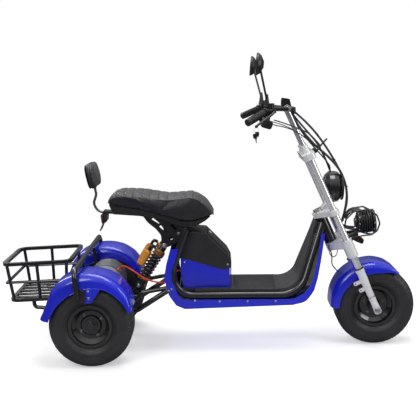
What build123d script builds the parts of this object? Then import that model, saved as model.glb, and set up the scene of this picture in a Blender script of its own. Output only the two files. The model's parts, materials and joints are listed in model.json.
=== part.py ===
"""Electric three-wheeled scooter with a step-through deck, a long seat and a rear basket.

Units are millimetres, +X points forward, +Y to the rider's left and +Z up. The origin lies
on the ground, halfway along the whole length. Distances called x in the tables below are
measured forward of the rear axle, and distances called back are measured rearward of the
front axle, so that the deck stretches when the wheelbase changes.
"""

from build123d import *

import os
from math import atan2, cos, degrees, radians, sin, sqrt, tan

os.makedirs("parts", exist_ok=True)

# Whole vehicle
wheelbase = 1417.0
rear_track = 620.0
basket_tail = 465.0          # basket's rear edge behind the rear axle
tyre_radius = 203.0
tyre_width = 172.0
tyre_wall = 14.0
rim_radius = 96.0            # bead seat of a seven inch rim
rim_wall = 5.0
overall_length = basket_tail + wheelbase + tyre_radius
rear_axle_x = basket_tail - overall_length / 2
front_axle_x = rear_axle_x + wheelbase
axle_height = tyre_radius
wheel_y = rear_track / 2

# Clearances
seat_gap = 0.3               # between a piece and what carries it
weld_gap = 0.2               # between a coped tube and the tube that it meets
run_gap = 0.5                # round a turning shaft
wheel_gap = 6.0              # beside a turning tyre

# Frame
tube_radius = 19.0
tube_y = 146.0
deck_tube_height = 289.0
layer_gap = 0.6              # between the frame tubes and the panels on them
cross_radius = 14.0
head_radius = 32.0
head_bore = 19.0

# Steering
rake = 24.2
fork_offset = 65.0           # fork legs ahead of the steering axis
fork_y = 124.0
stanchion_radius = 17.0
leg_radius = 23.0
stem_radius = head_bore - run_gap
steer_gap = 1.5              # between the head tube's ends and the clamps

# Rear fenders
fender_radius = 264.0
fender_wall = 4.0
fender_width = tyre_width + 2 * (wheel_gap + fender_wall) + 14.0


def at(x, y, z):
    """A point by its distance ahead of the rear axle, its side and its height."""
    return (rear_axle_x + x, y, z)


def ahead(back):
    """Distance ahead of the rear axle of a place that is measured back from the front axle."""
    return wheelbase - back


def side_plane(y=0.0):
    """Drawing plane seen from the right, with x ahead of the rear axle and y as height."""
    return Plane(origin=(rear_axle_x, y, 0), x_dir=(1, 0, 0), z_dir=(0, -1, 0))


def raised(corners):
    """Side-view corners from (x, height above the deck tubes' line)."""
    return [(x, deck_tube_height + above) for x, above in corners]


fork = Plane(
    origin=(front_axle_x, 0, axle_height),
    x_dir=(cos(radians(rake)), 0, sin(radians(rake))),
    z_dir=(-sin(radians(rake)), 0, cos(radians(rake))),
)


def fork_at(forward, y, along):
    """A point ahead of the fork line, to one side, and up along the fork from the axle."""
    return fork.from_local_coords(Vector(forward, y, along))


def fork_view(forward, along):
    """The (x, height) of a place beside the fork line, in the side view."""
    point = fork_at(forward, 0, along)
    return (point.X - rear_axle_x, point.Z)


def fork_side(y=0.0):
    """Drawing plane beside the fork, with x forward of its line and y up along it."""
    return Plane(origin=fork_at(0, y, 0), x_dir=fork.x_dir, z_dir=(0, -1, 0))


def round_bar(points, radius, bends=0.0, mode=Mode.ADD):
    """A round bar along straight runs joined by tangent bends."""
    with BuildLine() as route:
        if len(points) == 2:
            Line(points[0], points[1])
        else:
            FilletPolyline(*points, radius=bends)
    with BuildSketch(Plane(origin=route.line @ 0, z_dir=route.line % 0)) as section:
        Circle(radius)
    sweep(section.sketch, path=route.line, mode=mode)


def plate(plane, corners, thickness, rounding=0.0, both=False, mode=Mode.ADD):
    """A flat plate with rounded corners, grown from its plane."""
    with BuildSketch(plane) as outline:
        with BuildLine():
            FilletPolyline(*corners, radius=rounding, close=True)
        make_face()
    extrude(outline.sketch, amount=thickness, both=both, mode=mode)


def turned(centre, axis, profile, mode=Mode.ADD, arc=360.0, start=0.0):
    """A body turned about an axis from (distance along the axis, radius) corners."""
    along = Vector(*axis).normalized()
    across = Vector(0, 0, 1) if abs(along.Z) < 0.9 else Vector(1, 0, 0)
    plane = Plane(origin=centre, x_dir=along, z_dir=along.cross(across))
    plane = plane.rotated((start, 0, 0))
    with BuildSketch(plane) as outline:
        with BuildLine():
            Polyline(*profile, close=True)
        make_face()
    revolve(outline.sketch, axis=Axis(centre, along), revolution_arc=arc, mode=mode)


def cable(name, points, radius):
    """A held cable along straight runs joined by the largest tangent arcs that fit them."""
    places = [Vector(*point) for point in points]
    runs = [b - a for a, b in zip(places, places[1:])]
    bends = []
    for before, after in zip(runs, runs[1:]):
        half_turn = radians(before.get_angle(after)) / 2
        bends.append(0.45 * min(before.length, after.length) / tan(half_turn))
    round_bar(places, radius, bends)
    print(name, "bend radii", [round(bend) for bend in bends])


def write(part, name):
    """Label a finished piece and save it."""
    part.label = name
    export_step(part, f"parts/{name}.step")


# Frame tubes, in the side view: (x, height) of each corner and the bend there
seat_end = (455, deck_tube_height + 339)
rear_knee = (384, deck_tube_height + 133)
rear_foot = (400, deck_tube_height)
front_foot = (ahead(393), deck_tube_height)
head_end = fork_view(-fork_offset - 7.4, 507)
head_end_y = head_radius + tube_radius - 0.5
frame_route = [seat_end, rear_knee, rear_foot, front_foot, head_end]
frame_bends = [90, 100, 130]
head_low = 394.0             # head tube's ends, up along the fork from the axle
head_high = 533.0


def frame_tube_points(side):
    """Corners of one side tube, which leans in towards the head at its front end."""
    ys = [tube_y, tube_y, tube_y, tube_y, head_end_y]
    return [at(x, side * y, z) for (x, z), y in zip(frame_route, ys)]


for side, word in ((-1, "right"), (1, "left")):
    with BuildPart() as side_tube:
        round_bar(frame_tube_points(side), tube_radius, frame_bends)
    write(side_tube.part, f"frame_tube_{word}")

# Cross tubes between the side tubes: (x, height, radius)
pivot_x = 365.0
pivot_height = 322.0
pivot_radius = 8.0
lower_cross = (417.8, pivot_height - 3.7, 12.0)
upper_cross = (452.0, seat_end[1] - 8, cross_radius)
deck_cross = (700.0, deck_tube_height, cross_radius)
front_cross = (ahead(470), deck_tube_height, cross_radius)
pivot_plate_y = 112.0
pivot_plate = 6.0
sleeve_end = 154.0

with BuildPart() as cross_members:
    for x, z, radius in (lower_cross, upper_cross, deck_cross, front_cross):
        round_bar([at(x, -tube_y, z), at(x, tube_y, z)], radius)
    for side in (-1, 1):
        plate(
            side_plane(side * (pivot_plate_y + pivot_plate / 2) + pivot_plate / 2),
            [(pivot_x - 18, pivot_height - 22), (pivot_x - 18, pivot_height + 20),
             (lower_cross[0] + 12, pivot_height + 12), (lower_cross[0] + 12, pivot_height - 22)],
            pivot_plate,
            rounding=8,
        )
    round_bar(
        [at(pivot_x, -sleeve_end, pivot_height), at(pivot_x, sleeve_end, pivot_height)],
        pivot_radius,
    )
    for side in (-1, 1):
        round_bar(frame_tube_points(side), tube_radius + weld_gap, frame_bends, Mode.SUBTRACT)
        with Locations(at(deck_cross[0], side * 400, deck_cross[1])):
            Box(2 * 400, 2 * (400 - tube_y), 900, mode=Mode.SUBTRACT)
write(cross_members.part, "frame_cross_members")

with BuildPart() as head_tube:
    with BuildSketch(fork.offset(head_low)):
        with Locations((-fork_offset, 0)):
            Circle(head_radius)
            Circle(head_bore, mode=Mode.SUBTRACT)
    extrude(amount=head_high - head_low)
    for side in (-1, 1):
        round_bar(frame_tube_points(side), tube_radius + weld_gap, frame_bends, Mode.SUBTRACT)
write(head_tube.part, "head_tube")

# Belly pan: blue tray under the frame tubes, open above
pan_wall = 4.0
pan_y = tube_y + tube_radius + layer_gap + pan_wall
pan_front = ahead(431)
deck_border = 3 - tube_radius
pan_outline = raised([
    (pan_front, -47), (444, -64), (401, -45), (366, 6), (343, 94), (354, 163), (377, 243),
    (480, 243), (480, 181), (pan_front, 181),
])
pan_rounding = [0, 30, 30, 40, 60, 60, 4, 4, 4, 0]
pan_inner = raised([
    (pan_front + 5, deck_border), (424, deck_border), (381, 83), (381, 133), (402, 191),
    (424, 271), (700, 271), (pan_front + 5, 271),
])

with BuildPart() as belly_pan:
    plate(side_plane(0), pan_outline, pan_y, rounding=pan_rounding, both=True)
    with BuildSketch(side_plane(0)) as cavity:
        with BuildLine():
            FilletPolyline(*pan_outline, radius=pan_rounding, close=True)
        make_face()
        offset(amount=-pan_wall, kind=Kind.INTERSECTION)
    extrude(cavity.sketch, amount=pan_y - pan_wall, both=True, mode=Mode.SUBTRACT)
    plate(
        side_plane(0), pan_inner, 2 * pan_y, rounding=[0, 40, 40, 40, 0, 0, 0, 0], both=True,
        mode=Mode.SUBTRACT,
    )
    with Locations(at(pivot_x - 20, 0, pivot_height - 2)):
        Box(60, 2 * (pan_y - pan_wall - 4), 84, mode=Mode.SUBTRACT)
    with Locations(at(440, 0, pan_outline[-3][1] - 2)):
        Box(2 * 61, 2 * (pan_y - pan_wall), 30, mode=Mode.SUBTRACT)
write(belly_pan.part, "belly_pan")

# Leg shield: blue skin in front of the tubes, narrowing towards the head
shield_top = head_end[1] - 48
shield_half_top = 88.0
shield_outline = raised([
    (pan_front + seat_gap, -47), (ahead(365), -31), (ahead(324), 26), (ahead(304), 87),
]) + [
    (ahead(287), head_end[1] - 181), (ahead(263), shield_top), (ahead(282), shield_top),
    (ahead(297), head_end[1] - 144),
] + raised([
    (ahead(319), 106), (ahead(336), 57), (ahead(377), 11), (ahead(431) + seat_gap, deck_border),
])
shield_rounding = [0, 60, 60, 60, 0, 3, 3, 60, 60, 60, 60, 0]


def shield_front_view(half_bottom, half_top, depth, mode):
    """Keep or cut what lies inside the leg shield's front view."""
    view = Plane(origin=(rear_axle_x + ahead(150), 0, 0), x_dir=(0, 1, 0), z_dir=(1, 0, 0))
    knee = deck_tube_height + 11
    with BuildSketch(view) as outline:
        with BuildLine():
            Polyline(
                (-half_bottom, 0), (half_bottom, 0), (half_bottom, knee), (half_top, shield_top),
                (half_top - 8, head_end[1] + 64), (8 - half_top, head_end[1] + 64),
                (-half_top, shield_top), (-half_bottom, knee), close=True,
            )
        make_face()
    extrude(outline.sketch, amount=-depth, mode=mode)


with BuildPart() as leg_shield:
    plate(side_plane(0), shield_outline, pan_y, rounding=shield_rounding, both=True)
    shield_front_view(pan_y, shield_half_top, 600, Mode.INTERSECT)
    with BuildPart(mode=Mode.PRIVATE) as hollow:
        plate(
            side_plane(0),
            [(x - pan_wall * 1.1, z + pan_wall * 0.5) for x, z in shield_outline[:5]]
            + [(ahead(263) - 5, shield_top - pan_wall)]
            + [(ahead(300), shield_top - pan_wall), (ahead(440), shield_top), (pan_front - 9, deck_tube_height + 111)],
            pan_y - pan_wall,
            rounding=[0, 60, 60, 60, 0, 0, 0, 0, 0],
            both=True,
        )
        shield_front_view(pan_y - pan_wall, shield_half_top - pan_wall, 700, Mode.INTERSECT)
    add(hollow.part, mode=Mode.SUBTRACT)
    round_bar(
        [fork_at(-fork_offset, 0, 200), fork_at(-fork_offset, 0, 700)], head_radius + 10,
        mode=Mode.SUBTRACT,
    )
    for side in (-1, 1):
        round_bar(frame_tube_points(side), tube_radius + layer_gap, frame_bends, Mode.SUBTRACT)
write(leg_shield.part, "leg_shield")

# Footboard: flat black deck on the tubes
deck_top = deck_tube_height + 33
deck_bottom = deck_tube_height + tube_radius + layer_gap
deck_rear = 432.0
deck_wide = rear_foot[0] + frame_bends[1] - 4      # the deck grows past the tubes' bends
deck_half = 150.0
lining_split = ahead(500)

with BuildPart() as footboard:
    with BuildSketch(Plane.XY.offset(deck_bottom)):
        with Locations((rear_axle_x + (deck_wide + lining_split) / 2, 0)):
            RectangleRounded(lining_split - deck_wide, 2 * deck_half, 4)
        with Locations((rear_axle_x + (deck_rear + deck_wide) / 2 + 5, 0)):
            Rectangle(deck_wide - deck_rear + 10, 2 * (tube_y - tube_radius - layer_gap))
    extrude(amount=deck_top - deck_bottom)
write(footboard.part, "footboard")

# Lining: black inner face of the leg shield, behind the tubes
lining_thick = 14.0


def beside(route, gap):
    """Corners of the line that runs beside a side-view route, to its left for a positive gap."""
    points = [Vector(x, z) for x, z in route]
    runs = [(b - a).normalized() for a, b in zip(points, points[1:])]
    normals = [Vector(-run.Y, run.X) for run in runs]
    corners = [points[0] + normals[0] * gap]
    for before, after, point in zip(normals, normals[1:], points[1:]):
        middle = (before + after).normalized()
        corners.append(point + middle * (gap / middle.dot(after)))
    corners.append(points[-1] + normals[-1] * gap)
    return [(corner.X, corner.Y) for corner in corners]


lining_route = [(lining_split + seat_gap, deck_tube_height), front_foot, head_end]
lining_low = beside(lining_route, tube_radius + layer_gap)
lining_high = beside(lining_route, tube_radius + layer_gap + lining_thick)
front_bend = frame_bends[-1]

with BuildPart() as shield_lining:
    plate(
        side_plane(0),
        lining_low + lining_high[::-1],
        deck_half,
        rounding=[0, front_bend - tube_radius - layer_gap, 0, 0,
                  front_bend - tube_radius - layer_gap - lining_thick, 0],
        both=True,
    )
    shield_front_view(deck_half, 62, 700, Mode.INTERSECT)
    round_bar(
        [fork_at(-fork_offset, 0, 200), fork_at(-fork_offset, 0, 700)], head_radius + seat_gap,
        mode=Mode.SUBTRACT,
    )
    for side in (-1, 1):
        round_bar(frame_tube_points(side), tube_radius + seat_gap, frame_bends, Mode.SUBTRACT)
write(shield_lining.part, "shield_lining")

# Battery box: blue tub with a black upper shell and a hatch on its slope
box_wall = 3.0
box_half = 112.0
box_front = 681.0
box_rear = 436.0             # rear wall at the box's foot
box_tail = 424.0             # rear wall higher up
box_base = deck_top + seat_gap
box_outline = raised([
    (box_rear, box_base - deck_tube_height), (box_tail, 111), (box_tail, 188), (641, 122),
    (box_front, 135), (box_front, box_base - deck_tube_height),
])
shell_outline = raised([
    (box_tail, 188 + seat_gap), (474, 318), (553, 311), (661, 200), (box_front, 163),
    (box_front, 135 + seat_gap), (641, 122 + seat_gap),
])

with BuildPart() as battery_box:
    plate(side_plane(0), box_outline, box_half, rounding=0, both=True)
    fillet(battery_box.edges().filter_by(Axis.Z).group_by(Axis.X)[-1], 18)
    plate(
        side_plane(0),
        [(box_rear + box_wall, box_base + box_wall), (box_tail + box_wall, deck_tube_height + 111),
         (box_tail + box_wall, deck_tube_height + 311), (box_front - box_wall, deck_tube_height + 311),
         (box_front - box_wall, box_base + box_wall)],
        box_half - box_wall,
        both=True,
        mode=Mode.SUBTRACT,
    )
write(battery_box.part, "battery_box")

hatch_half = 78.0
hatch_thick = 5.0
hatch_seat = 0.3
slope_top = Vector(*shell_outline[2])
slope_foot = Vector(*shell_outline[3])
slope_run = (slope_foot - slope_top).normalized()
slope_out = Vector(-slope_run.Y, slope_run.X)
hatch_start = 10.0
hatch_length = 138.0
hatch_rim = 9.0


def on_slope(along, out):
    """Side-view point measured down the shell's slope and out from it."""
    point = slope_top + slope_run * along + slope_out * out
    return (point.X, point.Y)


with BuildPart() as battery_lid:
    plate(side_plane(0), shell_outline, box_half, both=True)
    plate(
        side_plane(0),
        raised([(box_tail + box_wall, 181), (474 + box_wall, 317 - box_wall),
                (552, 310 - box_wall), (660 - box_wall, 199), (box_front - box_wall, 163),
                (box_front - box_wall, 111), (500, 111)]),
        box_half - box_wall,
        both=True,
        mode=Mode.SUBTRACT,
    )
    plate(
        side_plane(0),
        [on_slope(hatch_start + hatch_rim, 30), on_slope(hatch_start + hatch_length - hatch_rim, 30),
         on_slope(hatch_start + hatch_length - hatch_rim, -30),
         on_slope(hatch_start + hatch_rim, -30)],
        hatch_half - hatch_rim,
        both=True,
        mode=Mode.SUBTRACT,
    )
write(battery_lid.part, "battery_lid")

hinge_radius = 4.0
hinge_point = on_slope(hatch_start + hatch_length + 3, hatch_seat + hatch_thick - hinge_radius + 1.5)

with BuildPart() as battery_hatch:
    plate(
        side_plane(0),
        [on_slope(hatch_start, hatch_seat), on_slope(hatch_start, hatch_seat + hatch_thick),
         on_slope(hatch_start + hatch_length, hatch_seat + hatch_thick),
         on_slope(hatch_start + hatch_length, hatch_seat)],
        hatch_half,
        both=True,
    )
write(battery_hatch.part, "battery_hatch")

pack_low = box_base + box_wall + seat_gap
pack_size = (190.0, 180.0, 120.0)

with BuildPart() as battery_pack:
    with Locations(at(560, 0, pack_low + pack_size[2] / 2)):
        Box(*pack_size)
    fillet(battery_pack.edges().filter_by(Axis.Z), 12)
write(battery_pack.part, "battery_pack")

# Seat, its pan and the plates that carry it
seat_half = 140.0
pan_half = 108.0
seat_outline = raised([
    (57, 465), (66, 516), (117, 538), (238, 532), (368, 510), (504, 519), (559, 485), (599, 413),
    (583, 398), (487, 371), (436, 373), (361, 400), (235, 432),
])
seat_rounding = [14, 25, 60, 120, 200, 50, 60, 12, 12, 40, 40, 80, 80]
seat_pan_outline = raised([
    (70, 461 - seat_gap), (235, 432 - seat_gap), (361, 400 - seat_gap), (436, 373 - seat_gap),
    (487, 371 - seat_gap), (575, 395 - seat_gap), (552, 375), (500, 345 + seat_gap),
    (440, 345 + seat_gap), (330, 383), (223, 402), (90, 412),
])

seat_pan_rounding = [0, 80, 80, 40, 40, 0, 8, 8, 8, 20, 20, 8]

with BuildPart() as seat:
    plate(side_plane(0), seat_outline, seat_half, rounding=seat_rounding, both=True)
    with BuildSketch(Plane.XY.offset(deck_top)) as seat_plan:
        with BuildLine():
            FilletPolyline(
                *[(rear_axle_x + x, y) for x, y in
                  ((50, -128), (260, -seat_half), (605, -112), (605, 112), (260, seat_half),
                   (50, 128))],
                radius=[60, 300, 60, 60, 300, 60], close=True,
            )
        make_face()
    extrude(seat_plan.sketch, amount=800, mode=Mode.INTERSECT)
write(seat.part, "seat")

with BuildPart() as seat_pan:
    plate(side_plane(0), seat_pan_outline, pan_half, rounding=seat_pan_rounding, both=True)
write(seat_pan.part, "seat_pan")

bracket_y = 90.0
bracket_thick = 6.0
bracket_outline = raised([
    (232, 407), (262, 366), (301, 334), (327, 301), (329, 263), (336, 238), (356, 238),
    (394, 252), (446, 301), (478, 331), (470, 357), (430, 371), (330, 401),
])
bracket_slots = [
    raised([(280, 383), (318, 359), (326, 367), (290, 391)]),
    raised([(318, 345), (352, 315), (360, 323), (328, 353)]),
    raised([(372, 351), (404, 323), (412, 333), (384, 359)]),
    raised([(366, 277), (384, 277), (388, 295), (372, 295)]),
]
shock_top = (343.0, deck_tube_height + 249)
shock_y = 68.0
bolt_radius = 6.0

with BuildPart() as seat_brackets:
    for side in (-1, 1):
        near = side * (bracket_y + bracket_thick / 2) + bracket_thick / 2
        plate(
            side_plane(near), bracket_outline, bracket_thick,
            rounding=[0, 30, 40, 30, 8, 10, 12, 12, 60, 10, 0, 0, 0],
        )
        for slot in bracket_slots:
            plate(side_plane(near), slot, bracket_thick, rounding=4, mode=Mode.SUBTRACT)
        round_bar(
            [at(shock_top[0], side * (shock_y - 22), shock_top[1]),
             at(shock_top[0], side * (bracket_y + bracket_thick + 8), shock_top[1])],
            bolt_radius,
        )
    with BuildSketch(side_plane(0)) as pan_form:
        with BuildLine():
            FilletPolyline(*seat_pan_outline, radius=seat_pan_rounding, close=True)
        make_face()
        offset(amount=seat_gap)
    extrude(pan_form.sketch, amount=200, both=True, mode=Mode.SUBTRACT)
    round_bar(
        [at(upper_cross[0], -tube_y, upper_cross[1]), at(upper_cross[0], tube_y, upper_cross[1])],
        cross_radius + weld_gap, mode=Mode.SUBTRACT,
    )
write(seat_brackets.part, "seat_brackets")

# Backrest
rest_tilt = 12.0
rest_centre = (-18.0, deck_tube_height + 599)
rest_size = (38.0, 230.0, 134.0)
stem_tube = 8.0
stem_y = 55.0
rest_plane = Plane(
    origin=at(rest_centre[0], 0, rest_centre[1]),
    x_dir=(cos(radians(rest_tilt)), 0, sin(radians(rest_tilt))),
    z_dir=(-sin(radians(rest_tilt)), 0, cos(radians(rest_tilt))),
)

with BuildPart() as backrest_pad:
    with BuildSketch(Plane(origin=rest_plane.origin, x_dir=(0, 1, 0), z_dir=rest_plane.x_dir)):
        RectangleRounded(rest_size[1], rest_size[2], 50)
    extrude(amount=rest_size[0] / 2, both=True)
    fillet(backrest_pad.edges().group_by(SortBy.LENGTH)[-1], 10)
write(backrest_pad.part, "backrest_pad")

rest_back = -rest_size[0] / 2 - stem_tube - seat_gap


def under_pan(x, y, depth):
    """A point below the seat pan's rear underside, at a depth under its slope."""
    (x0, z0), (x1, z1) = seat_pan_outline[-1], seat_pan_outline[-2]
    slope = (z1 - z0) / (x1 - x0)
    drop = (depth + seat_gap) * sqrt(1 + slope * slope)
    return at(x, y, z0 + slope * (x - x0) - drop)


with BuildPart() as backrest_stem:
    for side in (-1, 1):
        low = rest_plane.from_local_coords(Vector(rest_back, side * stem_y, -rest_size[2] / 2 - 14))
        high = rest_plane.from_local_coords(Vector(rest_back, side * stem_y, 20))
        round_bar(
            [under_pan(140, side * stem_y, stem_tube), under_pan(-4, side * stem_y, stem_tube),
             at(-24, side * stem_y, deck_tube_height + 453), low, high],
            stem_tube, [24, 30, 40],
        )
write(backrest_stem.part, "backrest_stem")

# Tail lamp below the seat's end
lamp_half = stem_y - stem_tube - 4
with BuildPart() as tail_lamp:
    plate(
        side_plane(0),
        raised([(16, 401), (50, 393), (47, 361), (22, 351)]),
        lamp_half, rounding=6, both=True,
    )
    strap = [under_pan(x, 0, depth) for x, depth in ((30, 0), (136, 0), (136, 4), (58, 4), (40, 34), (26, 34))]
    plate(
        side_plane(0), [(x - rear_axle_x, z) for x, _, z in strap], 30, both=True,
    )
    plate(
        side_plane(0),
        raised([(44, 395), (49, 395), (14, 313), (9, 315)]),
        40, rounding=1.5, both=True,
    )
write(tail_lamp.part, "tail_lamp")

# Rear swing arm, axle housing, motor
arm_y = 138.0
arm_radius = 14.0
sleeve_radius = 17.0
housing_radius = 26.0
housing_end = 196.0
shaft_radius = 15.0
shock_foot = (206.0, pivot_height + 3)

with BuildPart() as swing_arm:
    for side in (-1, 1):
        round_bar(
            [at(pivot_x, side * (pivot_plate_y + pivot_plate + run_gap), pivot_height),
             at(pivot_x, side * sleeve_end, pivot_height)],
            sleeve_radius,
        )
        round_bar(
            [at(pivot_x - 6, side * arm_y, pivot_height - 8), at(196, side * arm_y, axle_height + 7),
             at(0, side * arm_y, axle_height)],
            arm_radius, [60],
        )
        round_bar(
            [at(pivot_x - 4, side * arm_y, pivot_height + 6), at(236, side * arm_y, pivot_height - 17),
             at(120, side * arm_y, axle_height + 3)],
            arm_radius - 3, [40],
        )
    round_bar(
        [at(226, -arm_y, pivot_height - 26), at(226, arm_y, pivot_height - 26)], arm_radius - 2,
    )
    for side in (-1, 1):
        for inner in (-1, 1):
            plate(
                side_plane(side * shock_y + inner * 15 + 2),
                [(x, pivot_height + z) for x, z in
                 ((212, -36), (240, -26), (224, 8), (206, 20), (192, 8), (196, -16))],
                4, rounding=6,
            )
    for side in (-1, 1):
        round_bar(
            [at(shock_foot[0], side * (shock_y - 17), shock_foot[1]),
             at(shock_foot[0], side * (shock_y + 17), shock_foot[1])],
            bolt_radius,
        )
    round_bar(
        [at(pivot_x, -160, pivot_height), at(pivot_x, 160, pivot_height)],
        pivot_radius + run_gap, mode=Mode.SUBTRACT,
    )
    round_bar(
        [at(0, -housing_end, axle_height), at(0, housing_end, axle_height)],
        housing_radius + weld_gap, mode=Mode.SUBTRACT,
    )
    round_bar(
        [at(0, -housing_end, axle_height), at(0, housing_end, axle_height)],
        housing_radius - 1, mode=Mode.SUBTRACT,
    )
    with Locations(at(-60, 0, axle_height)):
        Box(120, 400, 120, mode=Mode.SUBTRACT)
write(swing_arm.part, "swing_arm")

motor_x = 36.0
motor_height = 338.0
motor_radius = 90.0
motor_half = 95.0
casing_radius = 72.0

with BuildPart() as axle_housing:
    turned(
        at(0, 0, axle_height), (0, 1, 0),
        [(-housing_end, shaft_radius + run_gap), (-housing_end, housing_radius + 8),
         (-housing_end + 14, housing_radius + 8), (-housing_end + 14, housing_radius),
         (-58, housing_radius), (-34, casing_radius - 14), (-22, casing_radius), (22, casing_radius),
         (34, casing_radius - 14), (58, housing_radius), (housing_end - 14, housing_radius),
         (housing_end - 14, housing_radius + 8), (housing_end, housing_radius + 8),
         (housing_end, shaft_radius + run_gap)],
    )
    turned(
        at(motor_x, 0, motor_height), (0, 1, 0),
        [(-44, 0), (-44, motor_radius - 30), (44, motor_radius - 30), (44, 0)],
        mode=Mode.SUBTRACT,
    )
write(axle_housing.part, "axle_housing")

with BuildPart() as drive_motor:
    turned(
        at(motor_x, 0, motor_height), (0, 1, 0),
        [(-motor_half, 0), (-motor_half, motor_radius - 34), (-motor_half + 12, motor_radius - 8),
         (-motor_half + 22, motor_radius), (motor_half - 22, motor_radius),
         (motor_half - 12, motor_radius - 8), (motor_half, motor_radius - 34), (motor_half, 0)],
    )
    turned(
        at(0, 0, axle_height), (0, 1, 0),
        [(-motor_half - 20, 0), (-motor_half - 20, housing_radius + weld_gap),
         (-58, housing_radius + weld_gap), (-34, casing_radius - 14 + weld_gap),
         (-22 - weld_gap, casing_radius + weld_gap), (22 + weld_gap, casing_radius + weld_gap),
         (34, casing_radius - 14 + weld_gap), (58, housing_radius + weld_gap),
         (motor_half + 20, housing_radius + weld_gap), (motor_half + 20, 0)],
        mode=Mode.SUBTRACT,
    )
write(drive_motor.part, "drive_motor")

# Motor cable: from a gland on the motor, over the pivot, to the battery box
gland_out = 0.7071
motor_cable_radius = 4.5
motor_gland = (motor_x + motor_radius * gland_out, motor_height + motor_radius * gland_out)
with BuildPart() as motor_cable:
    turned(
        at(motor_gland[0], -56, motor_gland[1]), (1, 0, 1),
        [(seat_gap, 0), (seat_gap, 9), (6, 9), (14, 6), (14, 0)],
    )
    cable(
        "motor cable",
        [at(motor_gland[0] + 2, -56, motor_gland[1] + 2), at(118, -66, 421), at(140, -90, 431),
         at(168, -108, 421), at(198, -112, 400), at(230, -112, 377), at(264, -112, 360),
         at(300, -112, 351), at(334, -110, 347), at(362, -107, 351), at(382, -104, 376),
         at(397, -102, 408), at(box_tail - seat_gap, -102, 408)],
        motor_cable_radius,
    )
write(motor_cable.part, "motor_cable")

# Shock absorbers with springs and piggyback reservoirs
shock_run = Vector(shock_top[0] - shock_foot[0], 0, shock_top[1] - shock_foot[1])
shock_length = shock_run.length
shock_dir = shock_run.normalized()
eye_radius = 13.0
spring_wire = 4.2
spring_mean = 24.0
spring_turns = 7
spring_low = 52.0
spring_high = 186.0

pitch = (spring_high - spring_low) / spring_turns
shock_back = Vector(-shock_dir.Z, 0, shock_dir.X)
cap_radius = spring_mean + spring_wire
feet = [Vector(*at(shock_foot[0], side * shock_y, shock_foot[1])) for side in (-1, 1)]

with BuildPart() as shock_absorbers:
    for foot in feet:
        turned(
            tuple(foot), tuple(shock_dir),
            [(10, 0), (10, 9), (36, 9), (36, cap_radius),
             (spring_low - spring_wire - seat_gap, cap_radius),
             (spring_low - spring_wire - seat_gap, 15), (150, 15), (150, 8), (180, 8),
             (spring_high + spring_wire + seat_gap, 8),
             (spring_high + spring_wire + seat_gap, cap_radius),
             (shock_length - 42, cap_radius), (shock_length - 36, 20),
             (shock_length - 12, 16), (shock_length - 12, 0)],
        )
        for centre in (foot, foot + shock_dir * shock_length):
            round_bar([centre - Vector(0, 12.5, 0), centre + Vector(0, 12.5, 0)], eye_radius)
            round_bar(
                [centre - Vector(0, 13, 0), centre + Vector(0, 13, 0)], bolt_radius + weld_gap,
                mode=Mode.SUBTRACT,
            )
write(shock_absorbers.part, "shock_absorbers")

with BuildPart() as shock_springs:
    for foot in feet:
        with BuildLine() as turns:
            Helix(
                pitch, spring_high - spring_low, spring_mean,
                center=foot + shock_dir * spring_low, direction=shock_dir,
            )
        with BuildSketch(Plane(origin=turns.line @ 0, z_dir=turns.line % 0)) as wire:
            Circle(spring_wire)
        sweep(wire.sketch, path=turns.line, is_frenet=True)
write(shock_springs.part, "shock_springs")

can_out = 52.0
with BuildPart() as shock_reservoirs:
    for foot in feet:
        can = foot + shock_dir * 96 + shock_back * can_out
        turned(
            tuple(can), tuple(shock_dir),
            [(0, 0), (0, 17), (5, 21), (80, 21), (86, 17), (86, 0)],
        )
        neck = foot + shock_dir * (shock_length - 39)
        round_bar(
            [can + shock_dir * 84, neck + shock_back * can_out,
             neck + shock_back * (cap_radius + seat_gap)],
            8, [10],
        )
write(shock_reservoirs.part, "shock_reservoirs")

# Rear fenders: half drums round the rear wheels
lip_angle = 8.0              # rear lip above the level of the axle
toe_angle = 20.0             # front lip above it
skirt_radius = 196.0

for side, word in ((-1, "right"), (1, "left")):
    with BuildPart() as rear_fender:
        centre = Vector(*at(0, side * wheel_y, axle_height))
        half = fender_width / 2
        with BuildSketch(Plane(origin=centre, x_dir=(0, 1, 0), z_dir=(1, 0, 0))) as hoop_section:
            with BuildLine():
                FilletPolyline(
                    (-half, skirt_radius), (-half, fender_radius), (half, fender_radius),
                    (half, skirt_radius), (half - fender_wall, skirt_radius),
                    (half - fender_wall, fender_radius - fender_wall),
                    (fender_wall - half, fender_radius - fender_wall),
                    (fender_wall - half, skirt_radius),
                    radius=[0, 40, 40, 0, 0, 40 - fender_wall, 40 - fender_wall, 0], close=True,
                )
            make_face()
        rolled = hoop_section.sketch.rotate(Axis(centre, (0, 1, 0)), -(90 - lip_angle))
        revolve(
            rolled, axis=Axis(centre, (0, 1, 0)), revolution_arc=180 - lip_angle - toe_angle,
        )
        outer = side * (wheel_y + half)
        plate(
            side_plane(max(outer, outer - side * fender_wall)),
            [(-78, axle_height + 184), (-46, axle_height + 128), (6, axle_height + 140),
             (66, axle_height + 190)],
            fender_wall, rounding=[0, 8, 10, 0],
        )
    write(rear_fender.part, f"rear_fender_{word}")

# Hoop over the rear fenders
hoop_radius = 13.0
hoop_x = -60.0
hoop_height = 487.0
hoop_y = wheel_y + fender_width / 2 + hoop_radius + seat_gap
with BuildPart() as rear_hoop:
    round_bar(
        [at(-50, -hoop_y, 352), at(hoop_x, -hoop_y, hoop_height), at(hoop_x, hoop_y, hoop_height),
         at(-50, hoop_y, 352)],
        hoop_radius, [42, 42],
    )
    for side in (-1, 1):
        near = side * (wheel_y + fender_width / 2 + seat_gap)
        plate(
            side_plane(max(near, near + side * 5)),
            [(-62, 352), (-60, 330), (-12, 334), (-12, 392), (-58, 396)],
            5, rounding=6,
        )
write(rear_hoop.part, "rear_hoop")

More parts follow.
